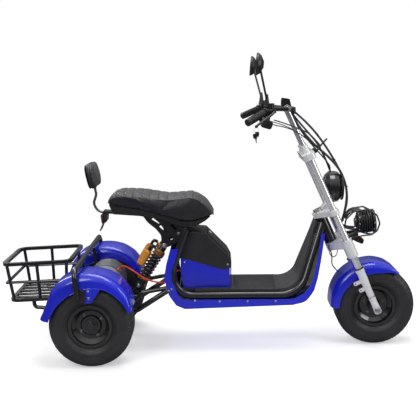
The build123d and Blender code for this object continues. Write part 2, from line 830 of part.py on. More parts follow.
# Carrier between the axle housing, the hoop and the basket
carrier_y = 172.0
carrier_radius = 10.0
basket_low = 285.0
basket_tilt = 2.6
basket_rim = 10.0
basket_plane = Plane(
    origin=at(-279, 0, basket_low),
    x_dir=(cos(radians(basket_tilt)), 0, sin(radians(basket_tilt))),
    z_dir=(-sin(radians(basket_tilt)), 0, cos(radians(basket_tilt))),
)
basket_depth = 188.0
rim_half = (166.0, 186.0)
base_half = (146.0, 172.0)


def basket_at(x, y, z):
    """A point in the basket's own tilted frame."""
    return basket_plane.from_local_coords(Vector(x, y, z))

with BuildPart() as rear_carrier:
    for side in (-1, 1):
        round_bar(
            [at(0, side * carrier_y, axle_height + housing_radius + carrier_radius),
             at(-250, side * carrier_y, axle_height + housing_radius + carrier_radius),
             basket_at(-33, side * carrier_y, -40),
             basket_at(-33, side * carrier_y, -8 - seat_gap)],
            carrier_radius, [60, 20],
        )
        round_bar(
            [basket_at(120, side * carrier_y, -44), basket_at(120, side * carrier_y, -8 - seat_gap)],
            carrier_radius,
        )
        round_bar(
            [at(-30, side * carrier_y, axle_height + housing_radius + carrier_radius),
             at(hoop_x, side * carrier_y, hoop_height)],
            carrier_radius,
        )
        round_bar(
            [at(-51, side * carrier_y, 410),
             at(-51, side * (wheel_y - fender_width / 2 - seat_gap), 410)],
            carrier_radius - 2,
        )
    round_bar([at(-250, -carrier_y, 239), at(-250, carrier_y, 239)], carrier_radius)
    round_bar([at(-140, -carrier_y, 239), at(-140, carrier_y, 239)], carrier_radius)
    round_bar(
        [at(hoop_x, -hoop_y, hoop_height), at(hoop_x, hoop_y, hoop_height)],
        hoop_radius + weld_gap, mode=Mode.SUBTRACT,
    )
    with Locations(at(hoop_x, 0, hoop_height + 30)):
        Box(60, 400, 60, mode=Mode.SUBTRACT)
write(rear_carrier.part, "rear_carrier")

# Basket behind the fenders
with BuildPart() as basket_frame:
    for half_x, half_y, height in (
        (rim_half[0], rim_half[1], basket_depth),
        (base_half[0], base_half[1], 0),
    ):
        level = basket_plane.offset(height)
        with BuildSketch(level) as ring:
            RectangleRounded(2 * half_x + 2 * basket_rim, 2 * half_y + 2 * basket_rim, 50)
            RectangleRounded(2 * half_x - 2 * basket_rim, 2 * half_y - 2 * basket_rim, 30,
                             mode=Mode.SUBTRACT)
        extrude(ring.sketch, amount=8, both=True)
    for x, y in ((-0.9, -1), (0, -1), (0.9, -1), (-0.9, 1), (0, 1), (0.9, 1)):
        round_bar(
            [basket_at(x * base_half[0], y * base_half[1], 0),
             basket_at(x * rim_half[0], y * rim_half[1], basket_depth)],
            basket_rim - 2,
        )
    for y in (-120, -60, 0, 60, 120):
        round_bar([basket_at(-base_half[0], y, 0), basket_at(base_half[0], y, 0)], 7)
    round_bar(
        [basket_at(-156, -180, basket_depth / 2), basket_at(-156, 180, basket_depth / 2)], 8,
    )
write(basket_frame.part, "basket")

# Wheels
bead_half = 66.0
flange_half = 72.0
flange_radius = rim_radius + 10.0


def tyre(centre):
    """A tyre with rounded shoulders, open towards its rim."""
    half = tyre_width / 2
    with BuildSketch(Plane(origin=centre, x_dir=(0, 1, 0), z_dir=(1, 0, 0))) as section:
        with BuildLine():
            FilletPolyline(
                (-bead_half, rim_radius + seat_gap), (-bead_half, flange_radius + 2),
                (-half, rim_radius + 34), (-half, tyre_radius), (half, tyre_radius),
                (half, rim_radius + 34), (bead_half, flange_radius + 2),
                (bead_half, rim_radius + seat_gap), (bead_half - tyre_wall, rim_radius + seat_gap),
                (half - tyre_wall, rim_radius + 36), (half - tyre_wall, tyre_radius - tyre_wall),
                (tyre_wall - half, tyre_radius - tyre_wall), (tyre_wall - half, rim_radius + 36),
                (tyre_wall - bead_half, rim_radius + seat_gap),
                radius=[0, 0, 20, 42, 42, 20, 0, 0, 0, 20, 30, 30, 20, 0], close=True,
            )
        make_face()
    revolve(section.sketch, axis=Axis(centre, (0, 1, 0)))


def rim(centre, side, bore):
    """A dished rim whose disc lies towards one side."""
    turned(
        centre, (0, side, 0),
        [(-flange_half, rim_radius - rim_wall), (-flange_half, flange_radius),
         (-bead_half - seat_gap, flange_radius), (-bead_half - seat_gap, rim_radius),
         (bead_half + seat_gap, rim_radius), (bead_half + seat_gap, flange_radius),
         (flange_half, flange_radius), (flange_half, rim_radius - rim_wall),
         (52, rim_radius - rim_wall), (34, 70), (34, 52), (44, 44), (44, bore), (18, bore),
         (18, 52), (26, 56), (26, 72), (44, rim_radius - rim_wall)],
    )


for side, word in ((-1, "right"), (1, "left")):
    centre = at(0, side * wheel_y, axle_height)
    with BuildPart() as rear_tyre:
        tyre(centre)
    write(rear_tyre.part, f"rear_tyre_{word}")

    with BuildPart() as rear_rim:
        rim(centre, side, shaft_radius)
    write(rear_rim.part, f"rear_rim_{word}")

    with BuildPart() as axle_shaft:
        turned(
            centre, (0, side, 0),
            [(-wheel_y + 70, 0), (-wheel_y + 70, shaft_radius), (18 - seat_gap - 12, shaft_radius),
             (18 - seat_gap - 12, 40), (18 - seat_gap, 40), (18 - seat_gap, shaft_radius - seat_gap),
             (44 + seat_gap, shaft_radius - seat_gap), (44 + seat_gap, 20), (60, 16), (60, 0)],
        )
    write(axle_shaft.part, f"axle_shaft_{word}")

front_centre = (front_axle_x, 0, axle_height)
spindle_radius = 8.0
hub_right = 58.0
hub_left = 85.7              # the hub's left end carries the brake disc
with BuildPart() as front_tyre:
    tyre(front_centre)
write(front_tyre.part, "front_tyre")

with BuildPart() as front_rim:
    turned(
        front_centre, (0, -1, 0),
        [(-flange_half, rim_radius - rim_wall), (-flange_half, flange_radius),
         (-bead_half - seat_gap, flange_radius), (-bead_half - seat_gap, rim_radius),
         (bead_half + seat_gap, rim_radius), (bead_half + seat_gap, flange_radius),
         (flange_half, flange_radius), (flange_half, rim_radius - rim_wall),
         (40, rim_radius - rim_wall), (24, 70), (24, 34), (hub_right, 26),
         (hub_right, spindle_radius + run_gap), (-hub_left, spindle_radius + run_gap),
         (-hub_left, 24), (-hub_left + 6, 24), (-40, 26), (8, 34), (8, 72),
         (24, rim_radius - rim_wall)],
    )
write(front_rim.part, "front_rim")

# Fork
leg_top = 233.0
stanchion_low = 70.0
bridge_low = 838.0
bridge_thick = 32.0
bridge_high = bridge_low + bridge_thick
clamp_low = (352.0, 392.5)
clamp_front = 18.0           # clamps' front face, ahead of the fork line
clamp_high = (head_high + steer_gap, 562.0)
leg_gap = 0.3

caliper_lugs = ((125.0, 46.0), (167.0, 57.0))     # (up along the leg, reach behind it)
lug_thick = 12.0
lug_hole = 4.2
screw_hole = 4.6             # left leg's holes, which the caliper's screws pass through
stay_along = 195.0
front_fender_half = 96.0

with BuildPart() as fork_legs:
    for side in (-1, 1):
        foot = fork_at(0, side * fork_y, 0)
        turned(
            tuple(foot), tuple(fork.z_dir),
            [(-22, 0), (-22, 15), (-14, 19), (40, 17), (120, 18), (170, leg_radius - 2),
             (leg_top - 24, leg_radius - 2), (leg_top - 20, leg_radius), (leg_top, leg_radius),
             (leg_top, stanchion_radius + leg_gap), (stanchion_low - 2, stanchion_radius + leg_gap),
             (stanchion_low - 2, 0)],
        )
    for side in (-1, 1):
        for along, reach in caliper_lugs:
            plate(
                fork_side(side * fork_y + lug_thick / 2),
                [(0, along - 9), (0, along + 9), (9 - reach, along + 9), (9 - reach, along - 9)],
                lug_thick,
            )
            round_bar(
                [fork_at(9 - reach, side * fork_y - lug_thick / 2, along),
                 fork_at(9 - reach, side * fork_y + lug_thick / 2, along)], 9,
            )
        round_bar(
            [fork_at(0, side * (front_fender_half + seat_gap), stay_along),
             fork_at(0, side * fork_y, stay_along)], 7,
        )
    for side in (-1, 1):
        round_bar(
            [fork_at(0, side * fork_y, stanchion_low - 2), fork_at(0, side * fork_y, leg_top)],
            stanchion_radius + leg_gap, mode=Mode.SUBTRACT,
        )
        for along, reach in caliper_lugs:
            round_bar(
                [fork_at(9 - reach, side * (fork_y - 20), along),
                 fork_at(9 - reach, side * (fork_y + 20), along)],
                lug_hole if side < 0 else screw_hole, mode=Mode.SUBTRACT,
            )
    round_bar(
        [fork_at(0, -fork_y - 40, 0), fork_at(0, fork_y + 40, 0)],
        spindle_radius + leg_gap, mode=Mode.SUBTRACT,
    )
write(fork_legs.part, "fork_legs")

# Brake disc on the hub's left end
disc_radius = 95.0
disc_thick = 3.5
disc_near = hub_left + seat_gap
with BuildPart() as brake_disc:
    hub_end = Plane(origin=(front_axle_x, disc_near, axle_height), z_dir=(0, 1, 0))
    with BuildSketch(hub_end) as disc_face:
        Circle(disc_radius)
        Circle(spindle_radius + run_gap, mode=Mode.SUBTRACT)
        with PolarLocations(50, 6):
            SlotOverall(34, 20, rotation=90, mode=Mode.SUBTRACT)
        with PolarLocations(disc_radius - 15, 18):
            Circle(4, mode=Mode.SUBTRACT)
    extrude(disc_face.sketch, amount=disc_thick)
write(brake_disc.part, "brake_disc")

# Caliper over the disc, on a bracket screwed to the left leg's lugs
pad_gap = 0.8
caliper_near = disc_near - 8.0
caliper_far = disc_near + disc_thick + 11.0
bracket_near = caliper_far - 3.0
bracket_far = bracket_near + 6.0
with BuildPart() as brake_caliper:
    plate(
        fork_side(caliper_far),
        [(-24, 58), (-24, 102), (-44, 99), (-70, 80), (-78, 60), (-52, 44)],
        caliper_far - caliper_near, rounding=5,
    )
    turned(
        front_centre, (0, 1, 0),
        [(disc_near - pad_gap, 0), (disc_near - pad_gap, disc_radius + 3.5),
         (disc_near + disc_thick + pad_gap, disc_radius + 3.5),
         (disc_near + disc_thick + pad_gap, 0)],
        mode=Mode.SUBTRACT,
    )
    plate(
        fork_side(bracket_far),
        [(-26, 84), (-27, 130), (-38, 178), (-58, 174), (-50, 128), (-68, 86)],
        bracket_far - bracket_near, rounding=6,
    )
    for along, reach in caliper_lugs:
        spot = 9 - reach
        lug_face = fork_y - lug_thick / 2
        for y0, y1, radius in (
            (bracket_near, lug_face - seat_gap, 9.0),
            (lug_face - 1, lug_face + lug_thick + seat_gap, lug_hole - leg_gap),
            (lug_face + lug_thick + seat_gap, lug_face + lug_thick + 6, 7.0),
        ):
            round_bar([fork_at(spot, y0, along), fork_at(spot, y1, along)], radius)
write(brake_caliper.part, "brake_caliper")

with BuildPart() as front_spindle:
    turned(
        front_centre, (0, 1, 0),
        [(-fork_y - 36, 0), (-fork_y - 36, 12), (-fork_y - 22, 12), (-fork_y - 22, spindle_radius),
         (fork_y + 22, spindle_radius), (fork_y + 22, 12), (fork_y + 36, 12), (fork_y + 36, 0)],
    )
write(front_spindle.part, "front_spindle")

with BuildPart() as stanchions:
    for side in (-1, 1):
        round_bar(
            [fork_at(0, side * fork_y, stanchion_low), fork_at(0, side * fork_y, bridge_high)],
            stanchion_radius,
        )
write(stanchions.part, "stanchions")


socket_radius = 26.0
for word, low, high, skirt in (
    ("lower", clamp_low[0], clamp_low[1], 45.0),
    ("upper", clamp_high[0], clamp_high[1], 0.0),
):
    level = fork.offset(low)
    with BuildPart() as clamp:
        with BuildSketch(Plane(origin=fork_at(-fork_offset, 0, low), x_dir=fork.x_dir,
                               z_dir=fork.z_dir)):
            Circle(34)
            with Locations((fork_offset, -fork_y), (fork_offset, fork_y)):
                Circle(socket_radius)
            with BuildLine():
                Polyline(
                    (-28, -18), (-28, 18), (fork_offset - clamp_front, fork_y + 4),
                    (fork_offset + clamp_front, fork_y + 4),
                    (fork_offset + clamp_front, -fork_y - 4),
                    (fork_offset - clamp_front, -fork_y - 4), close=True,
                )
            make_face()
        extrude(amount=high - low)
        if skirt:
            for side in (-1, 1):
                round_bar(
                    [fork_at(0, side * fork_y, low - skirt), fork_at(0, side * fork_y, low)],
                    socket_radius,
                )
        for side in (-1, 1):
            round_bar(
                [fork_at(0, side * fork_y, low - skirt - 5), fork_at(0, side * fork_y, high + 5)],
                stanchion_radius + leg_gap, mode=Mode.SUBTRACT,
            )
        round_bar(
            [fork_at(-fork_offset, 0, low - 5), fork_at(-fork_offset, 0, high + 5)],
            stem_radius + leg_gap, mode=Mode.SUBTRACT,
        )
    write(clamp.part, f"{word}_clamp")

with BuildPart() as steering_stem:
    turned(
        tuple(fork_at(-fork_offset, 0, 0)), tuple(fork.z_dir),
        [(clamp_low[0] - 6, 0), (clamp_low[0] - 6, stem_radius + 5),
         (clamp_low[0] - leg_gap, stem_radius + 5), (clamp_low[0] - leg_gap, stem_radius),
         (clamp_high[1] + leg_gap, stem_radius), (clamp_high[1] + leg_gap, stem_radius + 5),
         (clamp_high[1] + 12, stem_radius + 5), (clamp_high[1] + 12, 0)],
    )
write(steering_stem.part, "steering_stem")

riser_y = 42.0
riser_radius = 12.0
riser_top = 1108.0
with BuildPart() as top_bridge:
    with BuildSketch(fork.offset(bridge_low)):
        RectangleRounded(64, 2 * fork_y + 56, 26)
    extrude(amount=bridge_high - bridge_low)
    for side in (-1, 1):
        round_bar(
            [fork_at(0, side * riser_y, bridge_high), fork_at(0, side * riser_y, bridge_high + 38)],
            riser_radius + 9,
        )
    for side in (-1, 1):
        round_bar(
            [fork_at(0, side * fork_y, bridge_low - 5), fork_at(0, side * fork_y, bridge_high + 5)],
            stanchion_radius + leg_gap, mode=Mode.SUBTRACT,
        )
        round_bar(
            [fork_at(0, side * riser_y, bridge_low + 6), fork_at(0, side * riser_y, bridge_high + 50)],
            riser_radius + leg_gap, mode=Mode.SUBTRACT,
        )
write(top_bridge.part, "top_bridge")

# Handlebar on its two risers
bar_radius = 11.0
grip_end = Vector(762, 327, 1166)
grip_dir = Vector(0.634, -0.704, 0.317).normalized()
grip_length = 125.0
grip_radius = 17.0
bar_bend = grip_end + grip_dir * 170


def bar_at(x, y, z):
    """A handlebar point, by its distance behind the front axle's place at this wheelbase."""
    return (front_axle_x - 1417 + x, y, z)


with BuildPart() as handlebar:
    right = [
        bar_at(grip_end.X, -grip_end.Y, grip_end.Z), bar_at(bar_bend.X, -bar_bend.Y, bar_bend.Z),
        fork_at(0, -66, riser_top),
    ]
    left = [Vector(x, -y, z) for x, y, z in (Vector(*point) for point in right[::-1])]
    round_bar(right + left, bar_radius, [50, 40, 40, 50])
    for side in (-1, 1):
        round_bar(
            [fork_at(0, side * riser_y, bridge_low + 6.5),
             fork_at(0, side * riser_y, riser_top)],
            riser_radius,
        )
        round_bar(
            [fork_at(0, side * (riser_y - 14), riser_top),
             fork_at(0, side * (riser_y + 14), riser_top)],
            bar_radius + 8,
        )
write(handlebar.part, "handlebar")


def on_grip(side, along, out=0.0, up=0.0):
    """A point along one grip's axis from its end, moved forward and up from the axis."""
    base = grip_end + grip_dir * along
    ahead_dir = Vector(0.632, 0.688, 0).normalized()
    point = base + ahead_dir * out + Vector(0, 0, up)
    return bar_at(point.X, side * point.Y, point.Z)


with BuildPart() as grips:
    for side in (-1, 1):
        round_bar([on_grip(side, -6), on_grip(side, grip_length)], grip_radius)
    for side in (-1, 1):
        round_bar([on_grip(side, -1), on_grip(side, grip_length + 5)], bar_radius + seat_gap,
                  mode=Mode.SUBTRACT)
write(grips.part, "grips")

pod_length = 32.0
pod_radius = 21.0
pod_reach = 44.0
with BuildPart() as control_pods:
    for side in (-1, 1):
        round_bar(
            [on_grip(side, grip_length + 1), on_grip(side, grip_length + pod_length)], pod_radius,
        )
        round_bar(
            [on_grip(side, grip_length + pod_length / 2, 8),
             on_grip(side, grip_length + pod_length / 2, pod_reach)], 12,
        )
    for side in (-1, 1):
        round_bar([on_grip(side, grip_length - 4), on_grip(side, grip_length + pod_length + 4)],
                  bar_radius + seat_gap, mode=Mode.SUBTRACT)
write(control_pods.part, "control_pods")

with BuildPart() as brake_levers:
    for side in (-1, 1):
        root = grip_length + pod_length / 2
        round_bar(
            [on_grip(side, root, pod_reach + 8), on_grip(side, root - 26, pod_reach + 10, -6),
             on_grip(side, 24, 46, -16), on_grip(side, -2, 50, -18)],
            5.5, [20, 30],
        )
        round_bar(
            [on_grip(side, root, pod_reach + 7.4, -8), on_grip(side, root, pod_reach + 7.4, 8)], 7,
        )
write(brake_levers.part, "brake_levers")

# Mirrors
mirror_radius = 52.0
mirror_y = 300.0
mirror_centre = (804.0, 1430.0)
mirror_facing = (-1, 0, 0.1)
mirror_arm = 5.0
mirror_lift = (pod_radius + mirror_arm * grip_dir.Z) / sqrt(1 - grip_dir.Z**2) + seat_gap
with BuildPart() as mirrors:
    for side in (-1, 1):
        turned(
            bar_at(mirror_centre[0], side * mirror_y, mirror_centre[1]), mirror_facing,
            [(-28, 0), (-28, 16), (-14, 42), (0, mirror_radius), (6, mirror_radius),
             (6, mirror_radius - 4), (2, mirror_radius - 4), (2, 0)],
        )
        base = Vector(*on_grip(side, grip_length + pod_length / 2, 0, mirror_lift))
        head = Vector(*bar_at(mirror_centre[0] + 14, side * mirror_y, mirror_centre[1] - 30))
        round_bar([base, base + Vector(0, 0, 26), head], mirror_arm, [16])
write(mirrors.part, "mirrors")

with BuildPart() as mirror_glass:
    for side in (-1, 1):
        turned(
            bar_at(mirror_centre[0], side * mirror_y, mirror_centre[1]), mirror_facing,
            [(2 + seat_gap, 0), (2 + seat_gap, mirror_radius - 4 - seat_gap),
             (5, mirror_radius - 4 - seat_gap), (5, 0)],
        )
write(mirror_glass.part, "mirror_glass")

# Display on the bar
with BuildPart() as display:
    plate(
        Plane(origin=bar_at(0, 0, 0), x_dir=(1, 0, 0), z_dir=(0, -1, 0)),
        [(938, 1218), (940, 1268), (978, 1262), (990, 1214)],
        24, rounding=5, both=True,
    )
    round_bar(
        [fork_at(0, -80, riser_top), fork_at(0, 80, riser_top)],
        bar_radius + weld_gap, mode=Mode.SUBTRACT,
    )
write(display.part, "display")

# Round lamp on the upper clamp
lamp_radius = 80.0
lamp_depth = 100.0
with BuildPart() as round_lamp:
    base = Vector(*bar_at(1146, 0, 816))
    turned(
        tuple(base), (1, 0, 0),
        [(0, 0), (0, 30), (14, 62), (34, lamp_radius - 2), (58, lamp_radius),
         (lamp_depth - 22, lamp_radius - 4), (lamp_depth - 6, lamp_radius - 20),
         (lamp_depth, lamp_radius - 32), (lamp_depth, 0)],
    )
    round_bar(
        [fork_at(10, 0, clamp_high[1] + seat_gap), fork_at(10, 0, clamp_high[1] + 40)], 10,
    )
write(round_lamp.part, "round_lamp")

# Lower lamp, its guard and bracket, on the lower clamp
guard_y = 50.0
guard_radius = 4.0
with BuildPart() as lower_lamp:
    base = Vector(*bar_at(1316, 0, 628))
    turned(
        tuple(base), (1, 0, 0.1),
        [(0, 0), (0, 24), (20, 26), (22, 40), (80, 42), (88, 38), (102, 26), (106, 0)],
    )
    round_bar(
        [bar_at(1340, 0, 600), fork_at(clamp_front + 36, 0, clamp_low[1] - 20),
         fork_at(clamp_front + seat_gap, 0, clamp_low[1] - 20)],
        8, [14],
    )
    for side in (-1, 1):
        y = side * guard_y
        round_bar(
            [fork_at(12, y, clamp_low[1] + seat_gap), fork_at(12, y, clamp_low[1] + 30),
             bar_at(1264, y, 654), bar_at(1304, y, 694), bar_at(1368, y, 703),
             bar_at(1420, y, 676), bar_at(1436, y, 632), bar_at(1424, y, 594),
             bar_at(1396, y, 574), bar_at(1346, y, 568),
             fork_at(clamp_front + 30, y, clamp_low[1] - 24),
             fork_at(clamp_front + seat_gap, y, clamp_low[1] - 24)],
            guard_radius, [30, 24, 24, 24, 24, 24, 24, 20, 20, 14],
        )
    round_bar([bar_at(1368, -guard_y, 703), bar_at(1368, guard_y, 703)], guard_radius)
    round_bar([bar_at(1384, -guard_y, 571), bar_at(1384, guard_y, 571)], guard_radius)
write(lower_lamp.part, "lower_lamp")

# Turn indicators beside the lower lamp
with BuildPart() as indicators:
    for side in (-1, 1):
        plate(
            Plane(origin=bar_at(0, side * 78 + 8, 0), x_dir=(1, 0, 0), z_dir=(0, -1, 0)),
            [(1278, 566), (1330, 574), (1352, 552), (1344, 532), (1310, 546)],
            16, rounding=6,
        )
        round_bar(
            [fork_at(clamp_front + 30, side * 78, clamp_low[1] - 20),
             fork_at(clamp_front + seat_gap, side * 78, clamp_low[1] - 20)], 6,
        )
write(indicators.part, "indicators")

# Control cables: a bound bundle from the bar to the lower clamp, a lead to the round lamp, a
# cable from each switch pod into the bundle, and the brake hose from the clamp to the caliper
bundle_radius = 6.0
lead_radius = 3.5
hose_radius = 3.0
with BuildPart() as control_cables:
    cable(
        "cable bundle",
        [bar_at(984, -8, 1213.8 - seat_gap), bar_at(996, -9, 1172), bar_at(1022, -13, 1130),
         bar_at(1060, -19, 1080), bar_at(1112, -26, 1024), bar_at(1174, -33, 972),
         bar_at(1231, -36, 908), bar_at(1264, -37, 830), bar_at(1272, -34, 746),
         bar_at(1255, -27, 668), fork_at(2, -24, clamp_low[1] + 52),
         fork_at(2, -24, clamp_low[1] + seat_gap)],
        bundle_radius,
    )
    cable(
        "lamp lead",
        [bar_at(985, 14, 1213.8 - seat_gap), bar_at(998, 14, 1164), bar_at(1034, 13, 1108),
         bar_at(1076, 11, 1050), bar_at(1122, 9, 1000), bar_at(1162, 6, 955),
         bar_at(1186, 2, 922), bar_at(1188, 0, 816 + lamp_radius - 1.2 + seat_gap)],
        lead_radius,
    )
    for side, meet in ((-1, -24), (1, 10)):
        start = Vector(*on_grip(side, grip_length + pod_length / 2, 0, -mirror_lift))
        cable(
            "switch cable",
            [start, bar_at(856, side * 222, 1158), bar_at(896, side * 182, 1140),
             bar_at(940, side * 132, 1130), bar_at(988, side * 92, 1112),
             bar_at(1036, side * 66, 1084), bar_at(1076, side * 40, 1052),
             bar_at(1104, meet, 1022)],
            2.5,
        )
    cable(
        "brake hose",
        [fork_at(-88, 20, clamp_low[0] - seat_gap), fork_at(-88, 20, 324), fork_at(-96, 36, 294),
         fork_at(-106, 64, 264), fork_at(-106, 92, 236), fork_at(-94, 104, 200),
         fork_at(-86, 103, 160), fork_at(-76, 97, 126), fork_at(-57.4, 93, 90.2)],
        hose_radius,
    )
write(control_cables.part, "control_cables")

# Front fender between the fork legs
front_fender_radius = 236.0
front_skirt = 176.0
with BuildPart() as front_fender:
    centre = Vector(*front_centre)
    half = front_fender_half
    wall = 3.0
    with BuildSketch(Plane(origin=centre, x_dir=(0, 1, 0), z_dir=(1, 0, 0))) as section:
        with BuildLine():
            FilletPolyline(
                (-half, front_skirt), (-half, front_fender_radius), (half, front_fender_radius),
                (half, front_skirt), (half - wall, front_skirt),
                (half - wall, front_fender_radius - wall), (wall - half, front_fender_radius - wall),
                (wall - half, front_skirt),
                radius=[0, 38, 38, 0, 0, 38 - wall, 38 - wall, 0], close=True,
            )
        make_face()
    rolled = section.sketch.rotate(Axis(centre, (0, 1, 0)), -93)
    revolve(rolled, axis=Axis(centre, (0, 1, 0)), revolution_arc=128)
write(front_fender.part, "front_fender")

print("overall length", overall_length)
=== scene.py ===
"""Looks of the electric three-wheeled scooter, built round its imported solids."""

import json
import math

import bmesh
import bpy
from mathutils import Matrix, Vector
from mathutils.bvhtree import BVHTree

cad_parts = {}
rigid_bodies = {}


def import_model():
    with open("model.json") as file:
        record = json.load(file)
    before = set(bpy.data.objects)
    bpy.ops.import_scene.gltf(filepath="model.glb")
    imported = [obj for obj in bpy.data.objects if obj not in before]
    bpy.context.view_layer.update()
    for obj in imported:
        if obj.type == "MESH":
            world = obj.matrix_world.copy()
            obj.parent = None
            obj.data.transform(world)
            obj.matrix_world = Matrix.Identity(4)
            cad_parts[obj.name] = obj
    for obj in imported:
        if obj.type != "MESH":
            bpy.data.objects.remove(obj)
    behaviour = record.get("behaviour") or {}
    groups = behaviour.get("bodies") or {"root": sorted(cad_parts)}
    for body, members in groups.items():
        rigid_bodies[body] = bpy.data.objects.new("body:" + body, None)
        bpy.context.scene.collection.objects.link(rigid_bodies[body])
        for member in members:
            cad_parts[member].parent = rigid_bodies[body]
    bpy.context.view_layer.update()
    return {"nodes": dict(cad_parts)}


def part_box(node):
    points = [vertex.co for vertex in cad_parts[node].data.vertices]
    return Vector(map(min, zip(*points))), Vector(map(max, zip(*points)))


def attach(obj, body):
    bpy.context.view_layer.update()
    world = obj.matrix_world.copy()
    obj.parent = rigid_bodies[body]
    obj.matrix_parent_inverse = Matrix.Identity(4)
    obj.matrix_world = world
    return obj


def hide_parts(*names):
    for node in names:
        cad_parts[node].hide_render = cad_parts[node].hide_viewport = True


for thing in list(bpy.data.objects):
    bpy.data.objects.remove(thing)
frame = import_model()
scene = bpy.context.scene
scene.view_settings.view_transform = "Standard"

# Angles in radians, lengths and heights in mm, sides in mm from the middle plane
RAKE = math.radians(24.2)
TURN = 2 * math.pi
ANY_SPIN = 6.28
REAR_AXLE_BACK = 577.5
FRONT_AXLE = 839.5
AXLE_HIGH = 203
WHEEL_SIDE = 310
LEG_SIDE = 124
BODY_SIDE = 169.6
FENDER_SIDE = 413.2
DECK_TOP = 321.6
BASKET_LOW = 285.0
TYRE_SHOULDER = 168

CLOTH_FRAMES = 20
ORIGIN = Vector((0, 0, 0))
AHEAD = Vector((1, 0, 0))
UP = Vector((0, 0, 1))
SIDES = ((-1, "right"), (1, "left"))


def mm(x, y, z):
    return Vector((x, y, z)) / 1000


def at(x, y, z):
    """A point by its distance ahead of the rear axle, its side and its height, in mm."""
    return mm(x - REAR_AXLE_BACK, y, z)


def fork_at(forward, y, along):
    """A point ahead of the fork line, to one side, and up along the fork from the axle."""
    return mm(
        FRONT_AXLE + forward * math.cos(RAKE) - along * math.sin(RAKE), y,
        AXLE_HIGH + forward * math.sin(RAKE) + along * math.cos(RAKE),
    )


FORK_UP = (fork_at(0, 0, 100) - fork_at(0, 0, 0)).normalized()
GRIP_END = Vector((762, 327, 1166))
GRIP_DIR = Vector((0.634, -0.704, 0.317)).normalized()
GRIP_AHEAD = Vector((0.632, 0.688, 0)).normalized()


def on_grip(side, along, out=0.0, up=0.0):
    """A point along one grip's axis from its end, moved forward and up from the axis."""
    point = GRIP_END + GRIP_DIR * along + GRIP_AHEAD * out
    return at(point.x, side * point.y, point.z + up)


def grip_axis(side):
    return Vector((GRIP_DIR.x, side * GRIP_DIR.y, GRIP_DIR.z))


def added(name, data):
    """A new object in the scene."""
    made = bpy.data.objects.new(name, data)
    scene.collection.objects.link(made)
    return made


# Camera, floor and light
def aim_camera():
    yaw, pitch, roll = -0.0111, 0.1641, -0.0115
    look = Vector((math.sin(yaw) * math.cos(pitch), math.cos(yaw) * math.cos(pitch),
                   -math.sin(pitch)))
    right = Vector((math.cos(yaw), -math.sin(yaw), 0))
    up = right.cross(look)
    right, up = (
        right * math.cos(roll) + up * math.sin(roll),
        up * math.cos(roll) - right * math.sin(roll),
    )
    data = bpy.data.cameras.new("view")
    data.lens = 68.355
    data.sensor_width = 36
    data.clip_end = 60
    camera = added("view", data)
    turn = Matrix((right, up, -look)).transposed().to_4x4()
    camera.matrix_world = Matrix.Translation((0.0314, -3.9989, 1.373)) @ turn
    scene.camera = camera


aim_camera()


class Graph:
    """A node tree being filled in."""

    def __init__(self, tree):
        self.tree = tree
        self.tree.nodes.clear()

    def add(self, kind, feeds=None, **settings):
        """A new node; feeds gives inputs, by name or number, a value or another node's output."""
        node = self.tree.nodes.new(kind)
        for name, value in settings.items():
            setattr(node, name, value)
        for socket, value in (feeds or {}).items():
            self.feed(node.inputs[socket], value)
        return node

    def link(self, output, socket):
        self.tree.links.new(output, socket)

    def feed(self, socket, value):
        """Joins a socket to an output, or sets it to a plain value."""
        if isinstance(value, bpy.types.NodeSocket):
            self.link(value, socket)
        else:
            socket.default_value = value

    def maths(self, operation, a, b=0.0):
        return self.add("ShaderNodeMath", {0: a, 1: b}, operation=operation).outputs[0]

    def mix(self, factor, a, b):
        """A blend of two colours."""
        return self.add("ShaderNodeMix", {"Factor": factor, 6: a, 7: b}, data_type="RGBA").outputs[2]

    def spread(self, value, low, high, from_low=0.0, from_high=1.0):
        feeds = {"Value": value, "From Min": from_low, "From Max": from_high, "To Min": low,
                 "To Max": high}
        return self.add("ShaderNodeMapRange", feeds).outputs["Result"]

    def noise(self, place, scale, detail=3.0):
        feeds = {"Vector": place, "Scale": scale, "Detail": detail}
        return self.add("ShaderNodeTexNoise", feeds).outputs["Fac"]

    def rays(self):
        """The light path, and 1 for what the camera sees straight or through glass."""
        path = self.add("ShaderNodeLightPath")
        return path, self.maths("MAXIMUM", path.outputs["Is Camera Ray"],
                                path.outputs["Is Transmission Ray"])

    def vectors(self, operation, a, b):
        return self.add("ShaderNodeVectorMath", {0: a, 1: b}, operation=operation).outputs


